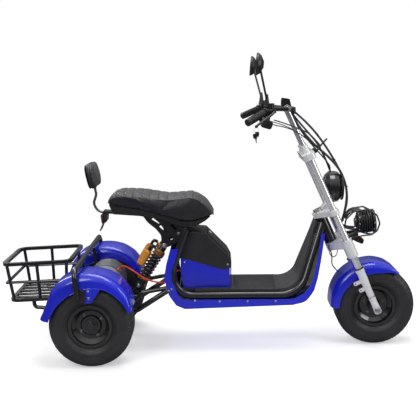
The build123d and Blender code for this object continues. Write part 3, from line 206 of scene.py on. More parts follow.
def world_and_floor():
    world = bpy.data.worlds.new("studio")
    scene.world = world
    world.use_nodes = True
    g = Graph(world.node_tree)
    path, seen = g.rays()
    place = g.add("ShaderNodeTexCoord").outputs["Generated"]
    split = g.add("ShaderNodeSeparateXYZ", {0: place})
    glossy = path.outputs["Is Glossy Ray"]
    dim = g.maths("MULTIPLY", g.spread(split.outputs["Z"], 0.16, 0.56, -0.1, 0.9),
                  g.maths("SUBTRACT", 1.0, glossy))
    mirrored = g.maths("MULTIPLY", glossy, g.spread(split.outputs["Z"], 0.1, 0.95, 0.15, 0.85))
    strength = g.maths("MAXIMUM", g.maths("ADD", dim, mirrored), seen)
    plain = g.add("ShaderNodeBackground", {"Color": (1, 1, 1, 1), "Strength": strength})
    g.add("ShaderNodeOutputWorld", {"Surface": plain.outputs[0]})

    mesh = bpy.data.meshes.new("floor")
    half = 30
    mesh.from_pydata([(-half, -half, 0), (half, -half, 0), (half, half, 0), (-half, half, 0)], [],
                     [(0, 1, 2, 3)])
    floor = added("floor", mesh)
    floor.location.z = -0.0005
    surface = bpy.data.materials.new("floor")
    surface.use_nodes = True
    g = Graph(surface.node_tree)
    path, seen = g.rays()
    shade = g.mix(path.outputs["Is Glossy Ray"], (0.8, 0.8, 0.81, 1), (0.3, 0.3, 0.31, 1))
    paper = g.add("ShaderNodeBsdfDiffuse", {"Color": shade})
    glow = g.add("ShaderNodeEmission", {"Strength": g.maths("MULTIPLY", seen, 0.42)})
    both = g.add("ShaderNodeAddShader", {0: paper.outputs[0], 1: glow.outputs[0]})
    place = g.add("ShaderNodeTexCoord").outputs["Object"]
    away = g.add("ShaderNodeVectorMath", {0: place}, operation="LENGTH")
    fade = g.spread(away.outputs["Value"], 0, 1, 1.3, 2.1)
    nothing = g.add("ShaderNodeBsdfTransparent").outputs[0]
    clear = g.add("ShaderNodeMixShader", {0: fade, 1: both.outputs[0], 2: nothing})
    g.add("ShaderNodeOutputMaterial", {"Surface": clear.outputs[0]})
    mesh.materials.append(surface)


def soft_light(name, place, target, size, power):
    data = bpy.data.lights.new(name, "AREA")
    data.shape = "RECTANGLE"
    data.size, data.size_y = size
    data.energy = power
    lamp = added(name, data)
    lamp.location = place
    lamp.rotation_euler = (Vector(target) - Vector(place)).to_track_quat("-Z", "Y").to_euler()


world_and_floor()
soft_light("above", (0.1, 0.1, 3.4), (0, 0, 0.4), (3.4, 1.1), 62)
soft_light("near", (-1.7, -3.2, 2.6), (0, 0, 0.5), (1.4, 2.0), 46)
soft_light("ahead", (3.2, -1.4, 1.9), (0.3, 0, 0.5), (1.0, 2.2), 30)
soft_light("behind", (-2.4, 2.6, 2.2), (0, 0, 0.6), (1.6, 1.6), 34)


# Finishes by name, filled by finish
LOOKS = {}


def finish(name, base, rough, metal=0.0, coat=0.0, patch=(7.0, 0.12), grain=(900.0, 0.12, 0.0003),
           swing=0.07, cells=None, bands=None, other=None, soft_edge=0.0012, worn=None, sheen=0.0,
           glow=None):
    """A surface with patches of tone, uneven gloss, grain, softened edges and worn edges.

    patch is (scale, share), grain (scale, strength, depth), cells (scale, share), bands (direction,
    scale, share) and glow (colour, strength). other is (mask builder, base, rough, metal): the part
    of the surface that the mask picks.
    """
    made = bpy.data.materials.new(name)
    made.use_nodes = True
    g = Graph(made.node_tree)
    place = g.add("ShaderNodeTexCoord").outputs["Object"]
    tones = g.noise(place, patch[0], 5)

    def toned(colour):
        darker, lighter = ((*[c * share for c in colour], 1) for share in (1 - patch[1], 1 + patch[1]))
        return g.mix(g.spread(tones, 0, 1, 0.3, 0.7), darker, lighter)

    colour = toned(base)
    gloss = g.spread(g.noise(place, 38, 4), rough - swing, rough + swing, 0.3, 0.7)
    metalness = metal
    if other:
        mask = other[0](g, place)
        second, second_rough, second_metal = other[1:]
        colour = g.mix(mask, colour, toned(second))
        uneven = g.spread(g.noise(place, 31, 3), second_rough - 0.03, second_rough + 0.05)
        gloss = g.spread(mask, gloss, uneven)
        metalness = g.spread(mask, metal, second_metal)
    softened = g.add("ShaderNodeBevel", {"Radius": soft_edge}, samples=6) if soft_edge else None
    if worn:
        geometry = g.add("ShaderNodeNewGeometry")
        closeness = g.vectors("DOT_PRODUCT", softened.outputs[0], geometry.outputs["Normal"])
        edge = g.spread(closeness["Value"], 1, 0, 0.86, 0.985)
        edge = g.maths("MULTIPLY", edge, g.spread(g.noise(place, 60, 5), 0, 0.8, 0.45, 0.62))
        colour = g.mix(edge, colour, (*worn, 1))
    height = g.noise(place, grain[0], 2)
    if cells:
        creases = g.add("ShaderNodeTexVoronoi", {"Vector": place, "Scale": cells[0]},
                        feature="DISTANCE_TO_EDGE")
        ridge = g.spread(creases.outputs["Distance"], 0, 1, 0, 0.25)
        height = g.maths("ADD", g.maths("MULTIPLY", ridge, cells[1]), g.maths("MULTIPLY", height, 0.4))
    if bands:
        waves = g.add("ShaderNodeTexWave", {"Vector": place, "Scale": bands[1]},
                      wave_type="BANDS", bands_direction=bands[0])
        height = g.maths("ADD", g.maths("MULTIPLY", waves.outputs["Fac"], bands[2]), height)
    bump = g.add("ShaderNodeBump", {"Strength": grain[1], "Distance": grain[2], "Height": height})
    if softened:
        g.link(softened.outputs[0], bump.inputs["Normal"])
    feeds = {"Base Color": colour, "Roughness": gloss, "Metallic": metalness,
             "Normal": bump.outputs[0], "Coat Weight": coat, "Coat Roughness": 0.04,
             "Sheen Weight": sheen}
    if glow:
        feeds.update({"Emission Color": (*glow[0], 1), "Emission Strength": glow[1]})
    shader = g.add("ShaderNodeBsdfPrincipled", feeds)
    g.add("ShaderNodeOutputMaterial", {"Surface": shader.outputs[0]})
    LOOKS[name] = made


def along(origin, direction, *steps):
    """Mask that is 1 where the distance along a direction from an origin lies in (low, high) steps."""
    def build(g, place):
        offset = g.vectors("SUBTRACT", place, origin)[0]
        far = g.vectors("DOT_PRODUCT", offset, direction)["Value"]
        total = 0.0
        for low, high in steps:
            inside = g.maths("MULTIPLY", g.maths("GREATER_THAN", far, low),
                             g.maths("LESS_THAN", far, high))
            total = g.maths("ADD", inside, total)
        return total
    return build


def beyond_side(limit):
    """Mask that is 1 further from the middle plane than a limit."""
    def build(g, place):
        split = g.add("ShaderNodeSeparateXYZ", {0: place})
        return g.maths("GREATER_THAN", g.maths("ABSOLUTE", split.outputs["Y"]), limit)
    return build


def lamp_body(g, place):
    """Mask of the tail lamp's black back and foot, all but its lens."""
    low = along(at(0, 0, 637), (0, 0, 1), (-1.0, 0.0))(g, place)
    return g.maths("MAXIMUM", low, along(at(24, 0, 0), (1, 0, 0), (0.0, 0.2))(g, place))


shock_foot = at(206, 0, 325)
shock_run = at(343, 0, 538) - shock_foot
shock_dir = shock_run.normalized()


def reservoir_arm(g, place):
    """Mask of the arms that join the reservoirs to the shock absorbers."""
    near = along(shock_foot, (-shock_dir.z, 0, shock_dir.x), (-0.2, 0.0295))(g, place)
    return g.maths("MAXIMUM", near, along(shock_foot, shock_dir, (0.184, 0.4))(g, place))


finish("frame_black", (0.011, 0.011, 0.013), 0.2, coat=0.6, patch=(5, 0.2), grain=(340, 0.1, 0.0004),
       swing=0.05, worn=(0.05, 0.05, 0.055))
finish("body_blue", (0.008, 0.016, 0.56), 0.22, coat=0.45, patch=(4, 0.1), grain=(160, 0.05, 0.0005),
       swing=0.04, soft_edge=0.002)
finish("deck_black", (0.02, 0.02, 0.023), 0.46, patch=(12, 0.25), grain=(1500, 0.5, 0.0006), swing=0.08,
       soft_edge=0.002)
finish("shell_black", (0.018, 0.018, 0.021), 0.4, patch=(10, 0.15), grain=(1900, 0.35, 0.0004),
       soft_edge=0.004)
finish("cell_grey", (0.1, 0.1, 0.11), 0.5, grain=(800, 0.3, 0.0004))
finish("seat_base", (0.012, 0.012, 0.013), 0.45, grain=(1300, 0.4, 0.0005))
finish("steel", (0.5, 0.5, 0.53), 0.3, metal=1.0, grain=(500, 0.15, 0.0003), swing=0.1)
finish("zinc", (0.6, 0.61, 0.65), 0.3, metal=1.0, patch=(90, 0.2), swing=0.1, soft_edge=0.0006)
finish("chrome", (0.9, 0.905, 0.915), 0.07, metal=0.6, patch=(3, 0.03), grain=(120, 0.02, 0.0003),
       swing=0.03)
finish("alloy", (0.76, 0.765, 0.78), 0.33, metal=0.1, coat=0.25, patch=(9, 0.02),
       grain=(1100, 0.05, 0.0002), swing=0.03, soft_edge=0.0025)
finish("casting", (0.3, 0.305, 0.32), 0.4, metal=0.75, patch=(40, 0.22), grain=(420, 0.5, 0.0008),
       swing=0.12, soft_edge=0.003)
finish("gold", (1.0, 0.43, 0.05), 0.3, metal=0.55, patch=(20, 0.15), grain=(700, 0.15, 0.0003),
       swing=0.08, other=(reservoir_arm, (0.013, 0.013, 0.014), 0.3, 0.0))
finish("shock", (0.95, 0.36, 0.04), 0.3, metal=0.55, patch=(20, 0.15), grain=(700, 0.2, 0.0003),
       swing=0.08,
       other=(along(shock_foot, shock_dir, (-0.05, 0.036), (0.0475, 0.19), (0.2175, 0.3)),
              (0.014, 0.014, 0.015), 0.25, 0.0))
finish("spring_black", (0.012, 0.012, 0.013), 0.22, coat=0.6, grain=(600, 0.12, 0.0003))
finish("rubber", (0.016, 0.016, 0.017), 0.55, patch=(30, 0.2), grain=(1400, 0.5, 0.0005))
finish("cable_black", (0.016, 0.016, 0.018), 0.4, grain=(900, 0.5, 0.0016), bands=("Z", 88.0, 1.6),
       patch=(30, 0.2))
finish("tyre", (0.022, 0.022, 0.024), 0.5, patch=(9, 0.28), grain=(700, 0.35, 0.0005), swing=0.1,
       soft_edge=0.0)
finish("rim_black", (0.01, 0.01, 0.011), 0.18, coat=0.7, grain=(300, 0.1, 0.0003), swing=0.05,
       worn=(0.06, 0.06, 0.065))
finish("control_black", (0.014, 0.014, 0.016), 0.36, patch=(30, 0.2), grain=(1700, 0.35, 0.0004))
finish("nut_dark", (0.22, 0.22, 0.23), 0.35, metal=0.8, patch=(90, 0.2), swing=0.1, soft_edge=0.0006)
finish("stem_grey", (0.2, 0.2, 0.21), 0.3, metal=0.8, grain=(500, 0.15, 0.0003))
finish("mirror_face", (0.86, 0.87, 0.88), 0.03, metal=1.0, grain=(50, 0.01, 0.0002), swing=0.01,
       soft_edge=0.0)
finish("lamp_black", (0.01, 0.01, 0.011), 0.17, coat=0.7, grain=(260, 0.08, 0.0003), swing=0.05,
       soft_edge=0.003)
finish("tail", (0.36, 0.008, 0.008), 0.12, coat=0.8, bands=("Z", 60.0, 0.8), grain=(400, 0.3, 0.0008),
       other=(lamp_body, (0.012, 0.012, 0.013), 0.3, 0.0))
finish("amber", (0.75, 0.22, 0.01), 0.15, coat=0.7, grain=(500, 0.3, 0.0006), bands=("Z", 90.0, 0.8))
finish("cable_red", (0.72, 0.06, 0.016), 0.38, patch=(60, 0.15), grain=(900, 0.2, 0.0004))
finish("bar", (0.86, 0.87, 0.89), 0.07, metal=0.82, patch=(3, 0.03), grain=(120, 0.02, 0.0003),
       swing=0.03, other=(beyond_side(0.0601), (0.012, 0.012, 0.013), 0.2, 0.0))
# The same leather as leather_side, painted lighter: painted light on the seat's top and the backrest's
# face, where they face the lamp above.
finish("leather_painted_light", (0.031, 0.031, 0.035), 0.45, patch=(11, 0.2), sheen=0.1, cells=(430, 1.0),
       grain=(1300, 0.35, 0.0006), swing=0.1, soft_edge=0.0)
finish("leather_side", (0.014, 0.014, 0.018), 0.45, patch=(9, 0.2), sheen=0.04, cells=(420, 1.0),
       grain=(1300, 0.3, 0.0006), swing=0.08, soft_edge=0.0)
# Stitching thread, light grey: partly the thread's own colour, partly a painted highlight for the light
# that the stitched grooves catch.
finish("thread_and_highlight", (0.2, 0.2, 0.21), 0.7, grain=(2500, 0.5, 0.0003), soft_edge=0.0)
finish("lens", (0.75, 0.77, 0.8), 0.06, coat=0.6, grain=(200, 0.05, 0.0003), bands=("Y", 70.0, 0.8),
       soft_edge=0.0)
finish("dark_glass", (0.02, 0.022, 0.026), 0.06, coat=1.0, grain=(60, 0.01, 0.0002), swing=0.01,
       soft_edge=0.0)
finish("lamp_cell", (0.8, 0.75, 0.5), 0.2, coat=0.5, glow=((1, 0.9, 0.6), 0.12), soft_edge=0.0)
finish("red_dot", (0.5, 0.01, 0.01), 0.3, grain=(900, 0.3, 0.0003))

SHOWN = {
    "frame_black": "frame_tube_right frame_tube_left frame_cross_members head_tube seat_brackets "
                   "backrest_stem swing_arm axle_housing rear_hoop rear_carrier basket "
                   "brake_caliper",
    "body_blue": "belly_pan leg_shield battery_box rear_fender_right rear_fender_left front_fender",
    "deck_black": "footboard shield_lining",
    "shell_black": "battery_lid battery_hatch",
    "cell_grey": "battery_pack",
    "seat_base": "seat_pan",
    "steel": "steering_stem axle_shaft_right axle_shaft_left brake_disc",
    "zinc": "front_spindle",
    "chrome": "stanchions",
    "alloy": "fork_legs lower_clamp upper_clamp top_bridge",
    "casting": "drive_motor",
    "gold": "shock_reservoirs",
    "shock": "shock_absorbers",
    "spring_black": "shock_springs",
    "rubber": "grips",
    "cable_black": "control_cables",
    "rim_black": "front_rim rear_rim_right rear_rim_left",
    "control_black": "control_pods brake_levers mirrors",
    "mirror_face": "mirror_glass",
    "lamp_black": "display round_lamp lower_lamp indicators",
    "tail": "tail_lamp",
    "cable_red": "motor_cable",
    "bar": "handlebar",
    "leather_side": "seat backrest_pad",
    "tyre": "front_tyre rear_tyre_right rear_tyre_left",
}
for word, nodes in SHOWN.items():
    for node in nodes.split():
        thing = frame["nodes"][node]
        if not thing.material_slots:
            thing.data.materials.append(None)
        for place in thing.material_slots:
            place.material = LOOKS[word]


# Mesh builders
def clean_mesh(name, verts, faces, bend, merge=True):
    """A mesh with its faces outwards, smooth up to a bend in radians, or flat without one."""
    mesh = bpy.data.meshes.new(name)
    mesh.from_pydata([tuple(v) for v in verts], [], faces)
    bm = bmesh.new()
    bm.from_mesh(mesh)
    if merge:
        bmesh.ops.remove_doubles(bm, verts=bm.verts, dist=1e-6)
    bmesh.ops.recalc_face_normals(bm, faces=bm.faces)
    if bend:
        for face in bm.faces:
            face.smooth = True
        for edge in bm.edges:
            edge.smooth = len(edge.link_faces) == 2 and edge.calc_face_angle(0) < bend
    bm.to_mesh(mesh)
    bm.free()
    return mesh


def carried(made, body):
    """Gives a piece the body that it rides on."""
    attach(made, body)
    return made


def piece(name, verts, faces, look, body, slot=None, smooth=True):
    """A mesh piece that rides on a body."""
    mesh = clean_mesh(name, verts, faces, 0.6 if smooth else None)
    mesh.materials.append(LOOKS[look])
    return carried(added(name, mesh), body)


def joined(rows, ring, closed=False, caps=True):
    """Faces round a stack of rings: the last meets the first if closed, else both ends are capped."""
    faces = []
    for i in range(rows if closed else rows - 1):
        here, there = i * ring, (i + 1) % rows * ring
        for k in range(ring):
            n = (k + 1) % ring
            faces.append((here + k, here + n, there + n, there + k))
    if caps and not closed:
        faces += [tuple(range(ring)), tuple(range((rows - 1) * ring, rows * ring))]
    return faces


def axes(direction):
    z = Vector(direction).normalized()
    helper = UP if abs(z.z) < 0.9 else AHEAD
    x = helper.cross(z).normalized()
    return x, z.cross(x), z


def lathe(origin, direction, profile, turns=40, ring=False):
    """Vertices and faces of a body turned round an axis, from (along, radius) in mm."""
    x, y, z = axes(direction)
    verts = []
    for far, radius in profile:
        for k in range(turns):
            a = TURN * k / turns
            verts.append(origin + z * far / 1000 + (x * math.cos(a) + y * math.sin(a)) * radius / 1000)
    return verts, joined(len(profile), turns, closed=ring)


def turned(name, origin, direction, profile, look, body, turns=40, ring=False, slot=None):
    return piece(name, *lathe(origin, direction, profile, turns, ring), look, body, slot)


def merged(*parts):
    verts, faces = [], []
    for v, f in parts:
        faces += [tuple(i + len(verts) for i in face) for face in f]
        verts += list(v)
    return verts, faces


def slab(origin, x_dir, y_dir, half_x, half_y, height, corner=3.0, edge=1.0, steps=4):
    """A rounded plate with bevelled rims, standing up from its origin, in mm."""
    x, y = Vector(x_dir).normalized(), Vector(y_dir).normalized()
    z = x.cross(y)
    rims = [(0, 0), (height - edge, 0), (height - edge * 0.3, edge * 0.3), (height, edge)]
    verts = []
    for up, inset in rims:
        for sx, sy, start in ((1, 1, 0), (-1, 1, 90), (-1, -1, 180), (1, -1, 270)):
            for k in range(steps + 1):
                a = math.radians(start + 90 * k / steps)
                r = max(corner - inset, 0.2)
                px = sx * (half_x - corner) + r * math.cos(a)
                py = sy * (half_y - corner) + r * math.sin(a)
                verts.append(origin + (x * px + y * py + z * up) / 1000)
    return verts, joined(len(rims), 4 * (steps + 1))


def rod(points, radius, smooth=True, closed=False, sides=10):
    """A round bar along a smooth line through points, as a mesh."""
    data = bpy.data.curves.new("line", "CURVE")
    data.dimensions = "3D"
    data.bevel_depth = radius / 1000
    data.bevel_resolution = max(1, sides // 4)
    data.use_fill_caps = True
    line = data.splines.new("NURBS" if smooth else "POLY")
    line.points.add(len(points) - 1)
    for spot, point in zip(line.points, points):
        spot.co = (*point, 1)
    line.use_cyclic_u = closed
    if smooth:
        line.order_u = 3
        line.use_endpoint_u = not closed
        line.resolution_u = 8
    holder = bpy.data.objects.new("line", data)
    mesh = bpy.data.meshes.new_from_object(holder)
    found = [v.co.copy() for v in mesh.vertices], [tuple(p.vertices) for p in mesh.polygons]
    bpy.data.objects.remove(holder)
    return found


def evaluated(holder):
    """A mesh with every modifier of the object applied."""
    bpy.context.view_layer.update()
    graph = bpy.context.evaluated_depsgraph_get()
    return bpy.data.meshes.new_from_object(holder.evaluated_get(graph))


# Repeated pieces, set on points by one tree of geometry nodes
def placing_tree():
    tree = bpy.data.node_groups.new("placed pieces", "GeometryNodeTree")
    face = tree.interface
    face.new_socket("Geometry", in_out="INPUT", socket_type="NodeSocketGeometry")
    for name, kind in (("Piece", "Object"), ("Size", "Float"), ("Spin", "Float"),
                       ("Uneven", "Float"), ("Seed", "Int"), ("Finish", "Material")):
        face.new_socket(name, in_out="INPUT", socket_type="NodeSocket" + kind)
    face.new_socket("Geometry", in_out="OUTPUT", socket_type="NodeSocketGeometry")
    g = Graph(tree)
    given, result = g.add("NodeGroupInput"), g.add("NodeGroupOutput")

    def random(low, high, offset):
        node = g.add("FunctionNodeRandomValue", data_type="FLOAT")
        lows, highs = [s for s in node.inputs if s.name in ("Min", "Max") and s.enabled]
        g.feed(lows, low)
        g.feed(highs, high)
        seed = g.maths("ADD", given.outputs["Seed"], offset)
        g.link(seed, [s for s in node.inputs if s.name == "Seed"][0])
        return [s for s in node.outputs if s.enabled][0]

    def named(attribute, kind):
        node = g.add("GeometryNodeInputNamedAttribute", {"Name": attribute}, data_type=kind)
        return node.outputs["Attribute"]

    facing = g.add("FunctionNodeAlignRotationToVector", {"Vector": named("aim", "FLOAT_VECTOR")},
                   axis="Z")
    spin = random(0.0, given.outputs["Spin"], 0)
    about = g.add("FunctionNodeAxisAngleToRotation", {"Axis": (0, 0, 1), "Angle": spin})
    rotations = {"Rotation": facing.outputs["Rotation"], "Rotate By": about.outputs["Rotation"]}
    turn = g.add("FunctionNodeRotateRotation", rotations, rotation_space="LOCAL")
    scale = g.maths("MULTIPLY", named("size", "FLOAT"), given.outputs["Size"])
    less = g.maths("SUBTRACT", 1.0, given.outputs["Uneven"])
    scale = g.maths("MULTIPLY", scale, random(less, 1.0, 7))
    source = g.add("GeometryNodeObjectInfo", {"Object": given.outputs["Piece"]})
    put = g.add("GeometryNodeInstanceOnPoints", {
        "Points": given.outputs["Geometry"], "Instance": source.outputs["Geometry"],
        "Rotation": turn.outputs["Rotation"], "Scale": scale,
    })
    real = g.add("GeometryNodeRealizeInstances", {0: put.outputs[0]})
    paint = g.add("GeometryNodeSetMaterial", {"Geometry": real.outputs[0],
                                              "Material": given.outputs["Finish"]})
    g.link(paint.outputs[0], result.inputs[0])
    return tree


PLACED = placing_tree()

# Small pieces of unit size, standing on the origin along +Z, that the tree copies
FORMS = {
    "fin": lathe(ORIGIN, UP, [(-19, 950), (-13, 1000), (13, 1000), (19, 950), (10, 920), (-10, 920)],
                 48, ring=True),
    "screw": merged(
        lathe(ORIGIN, UP, [(0, 1300), (120, 1300), (150, 1200)], 16),
        lathe(ORIGIN, UP, [(120, 960), (500, 980), (640, 900), (700, 760), (700, 520), (450, 480)],
              12),
    ),
    "nut": merged(
        lathe(ORIGIN, UP, [(0, 1350), (160, 1350), (200, 1280)], 20),
        lathe(ORIGIN, UP, [(180, 1080), (900, 1080), (1020, 960)], 6),
        lathe(ORIGIN, UP, [(1000, 560), (1500, 560), (1600, 470)], 12),
    ),
    "stitch": lathe(ORIGIN, UP, [(-900, 90), (-700, 230), (-250, 300), (250, 300), (700, 230),
                                 (900, 90)], 7),
    "rib": lathe(ORIGIN, UP, [(-50, 970), (-34, 1000), (34, 1000), (50, 970), (30, 940), (-30, 940)],
                 36, ring=True),
}
for word, (verts, faces) in FORMS.items():
    form_mesh = clean_mesh(word + "_form", verts, faces, 0.5, merge=False)
    FORMS[word] = added(word + "_form", form_mesh)


def placed(name, form, spots, look, body, spin=0.0, uneven=0.0, seed=1):
    """Copies of a form at (place, direction, size in mm) spots, made real as one piece."""
    mesh = bpy.data.meshes.new(name)
    mesh.from_pydata([tuple(p) for p, _, _ in spots], [], [])
    mesh.attributes.new("aim", "FLOAT_VECTOR", "POINT")
    mesh.attributes.new("size", "FLOAT", "POINT")
    for i, (_, direction, amount) in enumerate(spots):
        mesh.attributes["aim"].data[i].vector = Vector(direction).normalized()
        mesh.attributes["size"].data[i].value = amount
    holder = added(name + "_spots", mesh)
    modifier = holder.modifiers.new("placed", "NODES")
    modifier.node_group = PLACED
    given = {"Piece": FORMS[form], "Size": 1.0, "Spin": spin, "Uneven": uneven, "Seed": seed,
             "Finish": LOOKS[look]}
    for socket in PLACED.interface.items_tree:
        if socket.in_out == "INPUT" and socket.name in given:
            modifier[socket.identifier] = given[socket.name]
    holder.update_tag()
    made = evaluated(holder)
    bpy.data.objects.remove(holder)
    made.name = name
    for attribute in [a.name for a in made.attributes if a.name in ("aim", "size")]:
        made.attributes.remove(made.attributes[attribute])
    return carried(added(name, made), body)


def circle_spots(centre, radius, y, degrees, side, size):
    """Spots for placed on a circle, facing one side; radius and y in metres, size in mm."""
    spots = []
    for a in map(math.radians, degrees):
        spot = centre + Vector((radius * math.cos(a), y, radius * math.sin(a)))
        spots.append((spot, (0, side, 0), size / 1000))
    return spots


def stacked_spots(start, direction, first, gap, count, size):
    """Spots for placed in a row along a direction; first and gap in metres, size in mm."""
    return [(start + direction * (first + gap * k), direction, size / 1000) for k in range(count)]


def side_spots(rows):
    """Spots for placed on both sides, facing out, from (ahead, side, height, size) rows in mm."""
    return [(at(x, side * y, z), (0, side, 0), size / 1000)
            for side, _ in SIDES for x, y, z, size in rows]


# Tyres: the solids' own section with sidewall rings and a road tread cut into it
def rounded(points, radii, steps=7):
    """Points of a closed (x, y) line with arcs in place of its corners."""
    found = []
    for i, (point, radius) in enumerate(zip(points, radii)):
        corner = Vector(point)
        if radius <= 0:
            found.append(corner)
            continue
        u = (Vector(points[i - 1]) - corner).normalized()
        v = (Vector(points[(i + 1) % len(points)]) - corner).normalized()
        half = u.angle(v) / 2
        centre = corner + (u + v).normalized() * radius / math.sin(half)
        first, last = corner + u * radius / math.tan(half), corner + v * radius / math.tan(half)
        a0 = math.atan2(*(first - centre).yx)
        a1 = math.atan2(*(last - centre).yx)
        sweep = (a1 - a0 + math.pi) % TURN - math.pi
        for k in range(steps + 1):
            a = a0 + sweep * k / steps
            found.append(centre + Vector((math.cos(a), math.sin(a))) * radius)
    return found


def dip(distance, width, depth):
    """Depth of a groove at a distance from its middle."""
    return depth / (1 + math.exp((abs(distance) - width / 2) * 3.0))


def tyre_cut(y, r, a):
    """How far the tread and the sidewall lie inside the plain section, in mm."""
    side = abs(y)
    tread = 0.0
    if r > TYRE_SHOULDER:
        tread = max(dip(side - 21, 6, 4.5), dip(side - 55, 5, 3.6))
        turn = a * 40 / TURN
        if 27 < side < 50:
            phase = (turn + side / 46 * math.copysign(1, y)) % 1 - 0.5
            tread = max(tread, dip(phase * 31, 4, 3.2))
        if side < 16:
            phase = (turn * 0.5 + y / 60) % 1 - 0.5
            tread = max(tread, dip(phase * 60, 3, 2.2))
        if side > 60:
            phase = (turn + 0.5) % 1 - 0.5
            tread = max(tread, dip(phase * 31, 3.4, 2.6) * min(1, (r - TYRE_SHOULDER) / 14))
    wall = max(dip(r - 150, 3, 1.2), dip(r - 122, 2.4, 1.2), dip(r - 162, 2, 0.8))
    return tread, wall if side > 60 else 0.0


def tyre_mesh(turns=432):
    outline = rounded(
        [(-66, 96.3), (-66, 108), (-86, 130), (-86, 203), (86, 203), (86, 130), (66, 108),
         (66, 96.3), (52, 96.3), (72, 132), (72, 189), (-72, 189), (-72, 132), (-52, 96.3)],
        [0, 0, 20, 42, 42, 20, 0, 0, 0, 20, 30, 30, 20, 0],
    )
    line = []
    for i, point in enumerate(outline):
        after = outline[(i + 1) % len(outline)]
        outer = point.y > 96.4 and after.y > 96.4 and i < 40
        step = (2.3 if point.y > 160 else 4.0) if outer else 60.0
        parts = max(1, round((after - point).length / step))
        line += [(point.lerp(after, k / parts), outer or k == 0 and i < 40) for k in range(parts)]
    verts = []
    for place, outer in line:
        for k in range(turns):
            a = TURN * k / turns
            tread, wall = tyre_cut(place.x, place.y, a) if outer else (0.0, 0.0)
            y = place.x - math.copysign(wall, place.x)
            r = place.y - tread
            verts.append(Vector((r * math.cos(a), y, r * math.sin(a))) / 1000)
    return verts, joined(len(line), turns, closed=True)


tyre_form = tyre_mesh()
WHEELS = (
    ("front_tyre", "front_wheel", mm(FRONT_AXLE, 0, AXLE_HIGH), -1),
    ("rear_tyre_right", "rear_wheel_right", at(0, -WHEEL_SIDE, AXLE_HIGH), -1),
    ("rear_tyre_left", "rear_wheel_left", at(0, WHEEL_SIDE, AXLE_HIGH), 1),
)
for node, body, centre, side in WHEELS:
    tread = piece(node + "_tread", [centre + v for v in tyre_form[0]], tyre_form[1], "tyre", body,
                  slot="tyre")
    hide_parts(node)
    valve_angle = 2.2
    across, high = math.cos(valve_angle), math.sin(valve_angle)
    valve = centre + Vector((across * 0.083, side * 0.043, high * 0.083))
    lean = Vector((-across * 0.5, side, -high * 0.5))
    turned(node + "_valve", valve, lean,
           [(-4, 4.5), (3, 4.5), (5, 3.2), (16, 2.8), (17, 3.6), (26, 3.6), (28, 2.6)],
           "rubber", body, 14)

for node, body, centre, side in WHEELS[1:]:
    spots = circle_spots(centre, 0.058, side * 0.034, range(33, 393, 90), side, 6.2)
    placed(body + "_nuts", "nut", spots, "nut_dark", body, spin=1.0, seed=3)
    turned(body + "_cap", centre + Vector((0, side * 0.0445, 0)), (0, side, 0),
           [(0, 33), (2.5, 33), (4, 31.5), (4, 26), (8, 24.5), (8, 21)], "rim_black", body, 48)
    turned(body + "_axle_nut", centre + Vector((0, side * 0.0525, 0)), (0, side, 0),
           [(0, 19.5), (9, 19.5), (11, 17.5)], "rim_black", body, 6)

front_centre = WHEELS[0][2]
spots = circle_spots(front_centre, 0.052, -0.024, range(18, 378, 72), -1, 6.0)
placed("front_wheel_nuts", "nut", spots, "nut_dark", "front_wheel", spin=1.0, seed=5)
spots = circle_spots(front_centre, 0.0165, 0.0895, range(0, 360, 60), 1, 3.2)
placed("disc_screws", "screw", spots, "zinc", "front_wheel", spin=ANY_SPIN, seed=6)
for side, word in SIDES:
    turned(f"spindle_washer_{word}", front_centre + Vector((0, side * 0.1432, 0)), (0, side, 0),
           [(0, 15), (2.4, 15), (2.8, 14.4)], "zinc", "steering", 32)
    turned(f"spindle_nut_{word}", front_centre + Vector((0, side * 0.1462, 0)), (0, side, 0),
           [(0, 14.2), (9.5, 14.2), (11.5, 12.6)], "zinc", "steering", 6)
    turned(f"leg_seal_{word}", fork_at(0, side * LEG_SIDE, 231), FORK_UP,
           [(0, 24.2), (2.5, 24.2), (3.5, 22.5), (5, 19.5), (6, 17.6)], "rubber", "steering", 40)
    turned(f"clamp_seal_{word}", fork_at(0, side * LEG_SIDE, 299), FORK_UP,
           [(0, 22), (3, 26), (9, 26), (9, 17.6)], "alloy", "steering", 40)


# Seat and backrest: cloth swollen over their solids' own forms, then sewn
def soft_copy(node, shrink, voxel, pressure, cap, rounds, hold):
    """The solid's form, a little smaller, remeshed evenly, rounded and swollen."""
    source = frame["nodes"][node].data.copy()
    low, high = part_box(node)
    middle = (low + high) / 2
    half = (high - low) / 2
    for v in source.vertices:
        for k in range(3):
            v.co[k] = middle[k] + (v.co[k] - middle[k]) * (1 - shrink[k] / 1000 / half[k])
    holder = added(node + "_soft", source)
    remesh = holder.modifiers.new("even", "REMESH")
    remesh.mode = "VOXEL"
    remesh.voxel_size = voxel
    ease = holder.modifiers.new("ease", "SMOOTH")
    ease.factor = 0.5
    ease.iterations = rounds
    freeze(holder)
    rest = [v.co.copy() for v in holder.data.vertices]
    kept = holder.vertex_groups.new(name="kept")
    kept.add([i for i, v in enumerate(rest) if hold(v)], 1.0, "REPLACE")
    cloth = holder.modifiers.new("swell", "CLOTH")
    cloth.settings.use_pressure = True
    cloth.settings.uniform_pressure_force = pressure
    cloth.settings.effector_weights.gravity = 0
    cloth.settings.vertex_group_mass = "kept"
    cloth.settings.quality = 5
    cloth.point_cache.frame_start = 1
    cloth.point_cache.frame_end = CLOTH_FRAMES
    for number in range(1, CLOTH_FRAMES + 1):
        scene.frame_set(number)
    freeze(holder)
    scene.frame_set(1)
    for v, start in zip(holder.data.vertices, rest):
        moved = v.co - start
        if moved.length > cap:
            v.co = start + moved.normalized() * cap
    finer = holder.modifiers.new("finer", "SUBSURF")
    finer.levels = 1
    freeze(holder)
    return holder


def freeze(holder):
    """Applies every modifier of a mesh object."""
    mesh = evaluated(holder)
    holder.modifiers.clear()
    holder.data = mesh


def tree_of(holder):
    mesh = holder.data
    return BVHTree.FromPolygons([v.co.copy() for v in mesh.vertices],
                                [tuple(p.vertices) for p in mesh.polygons])


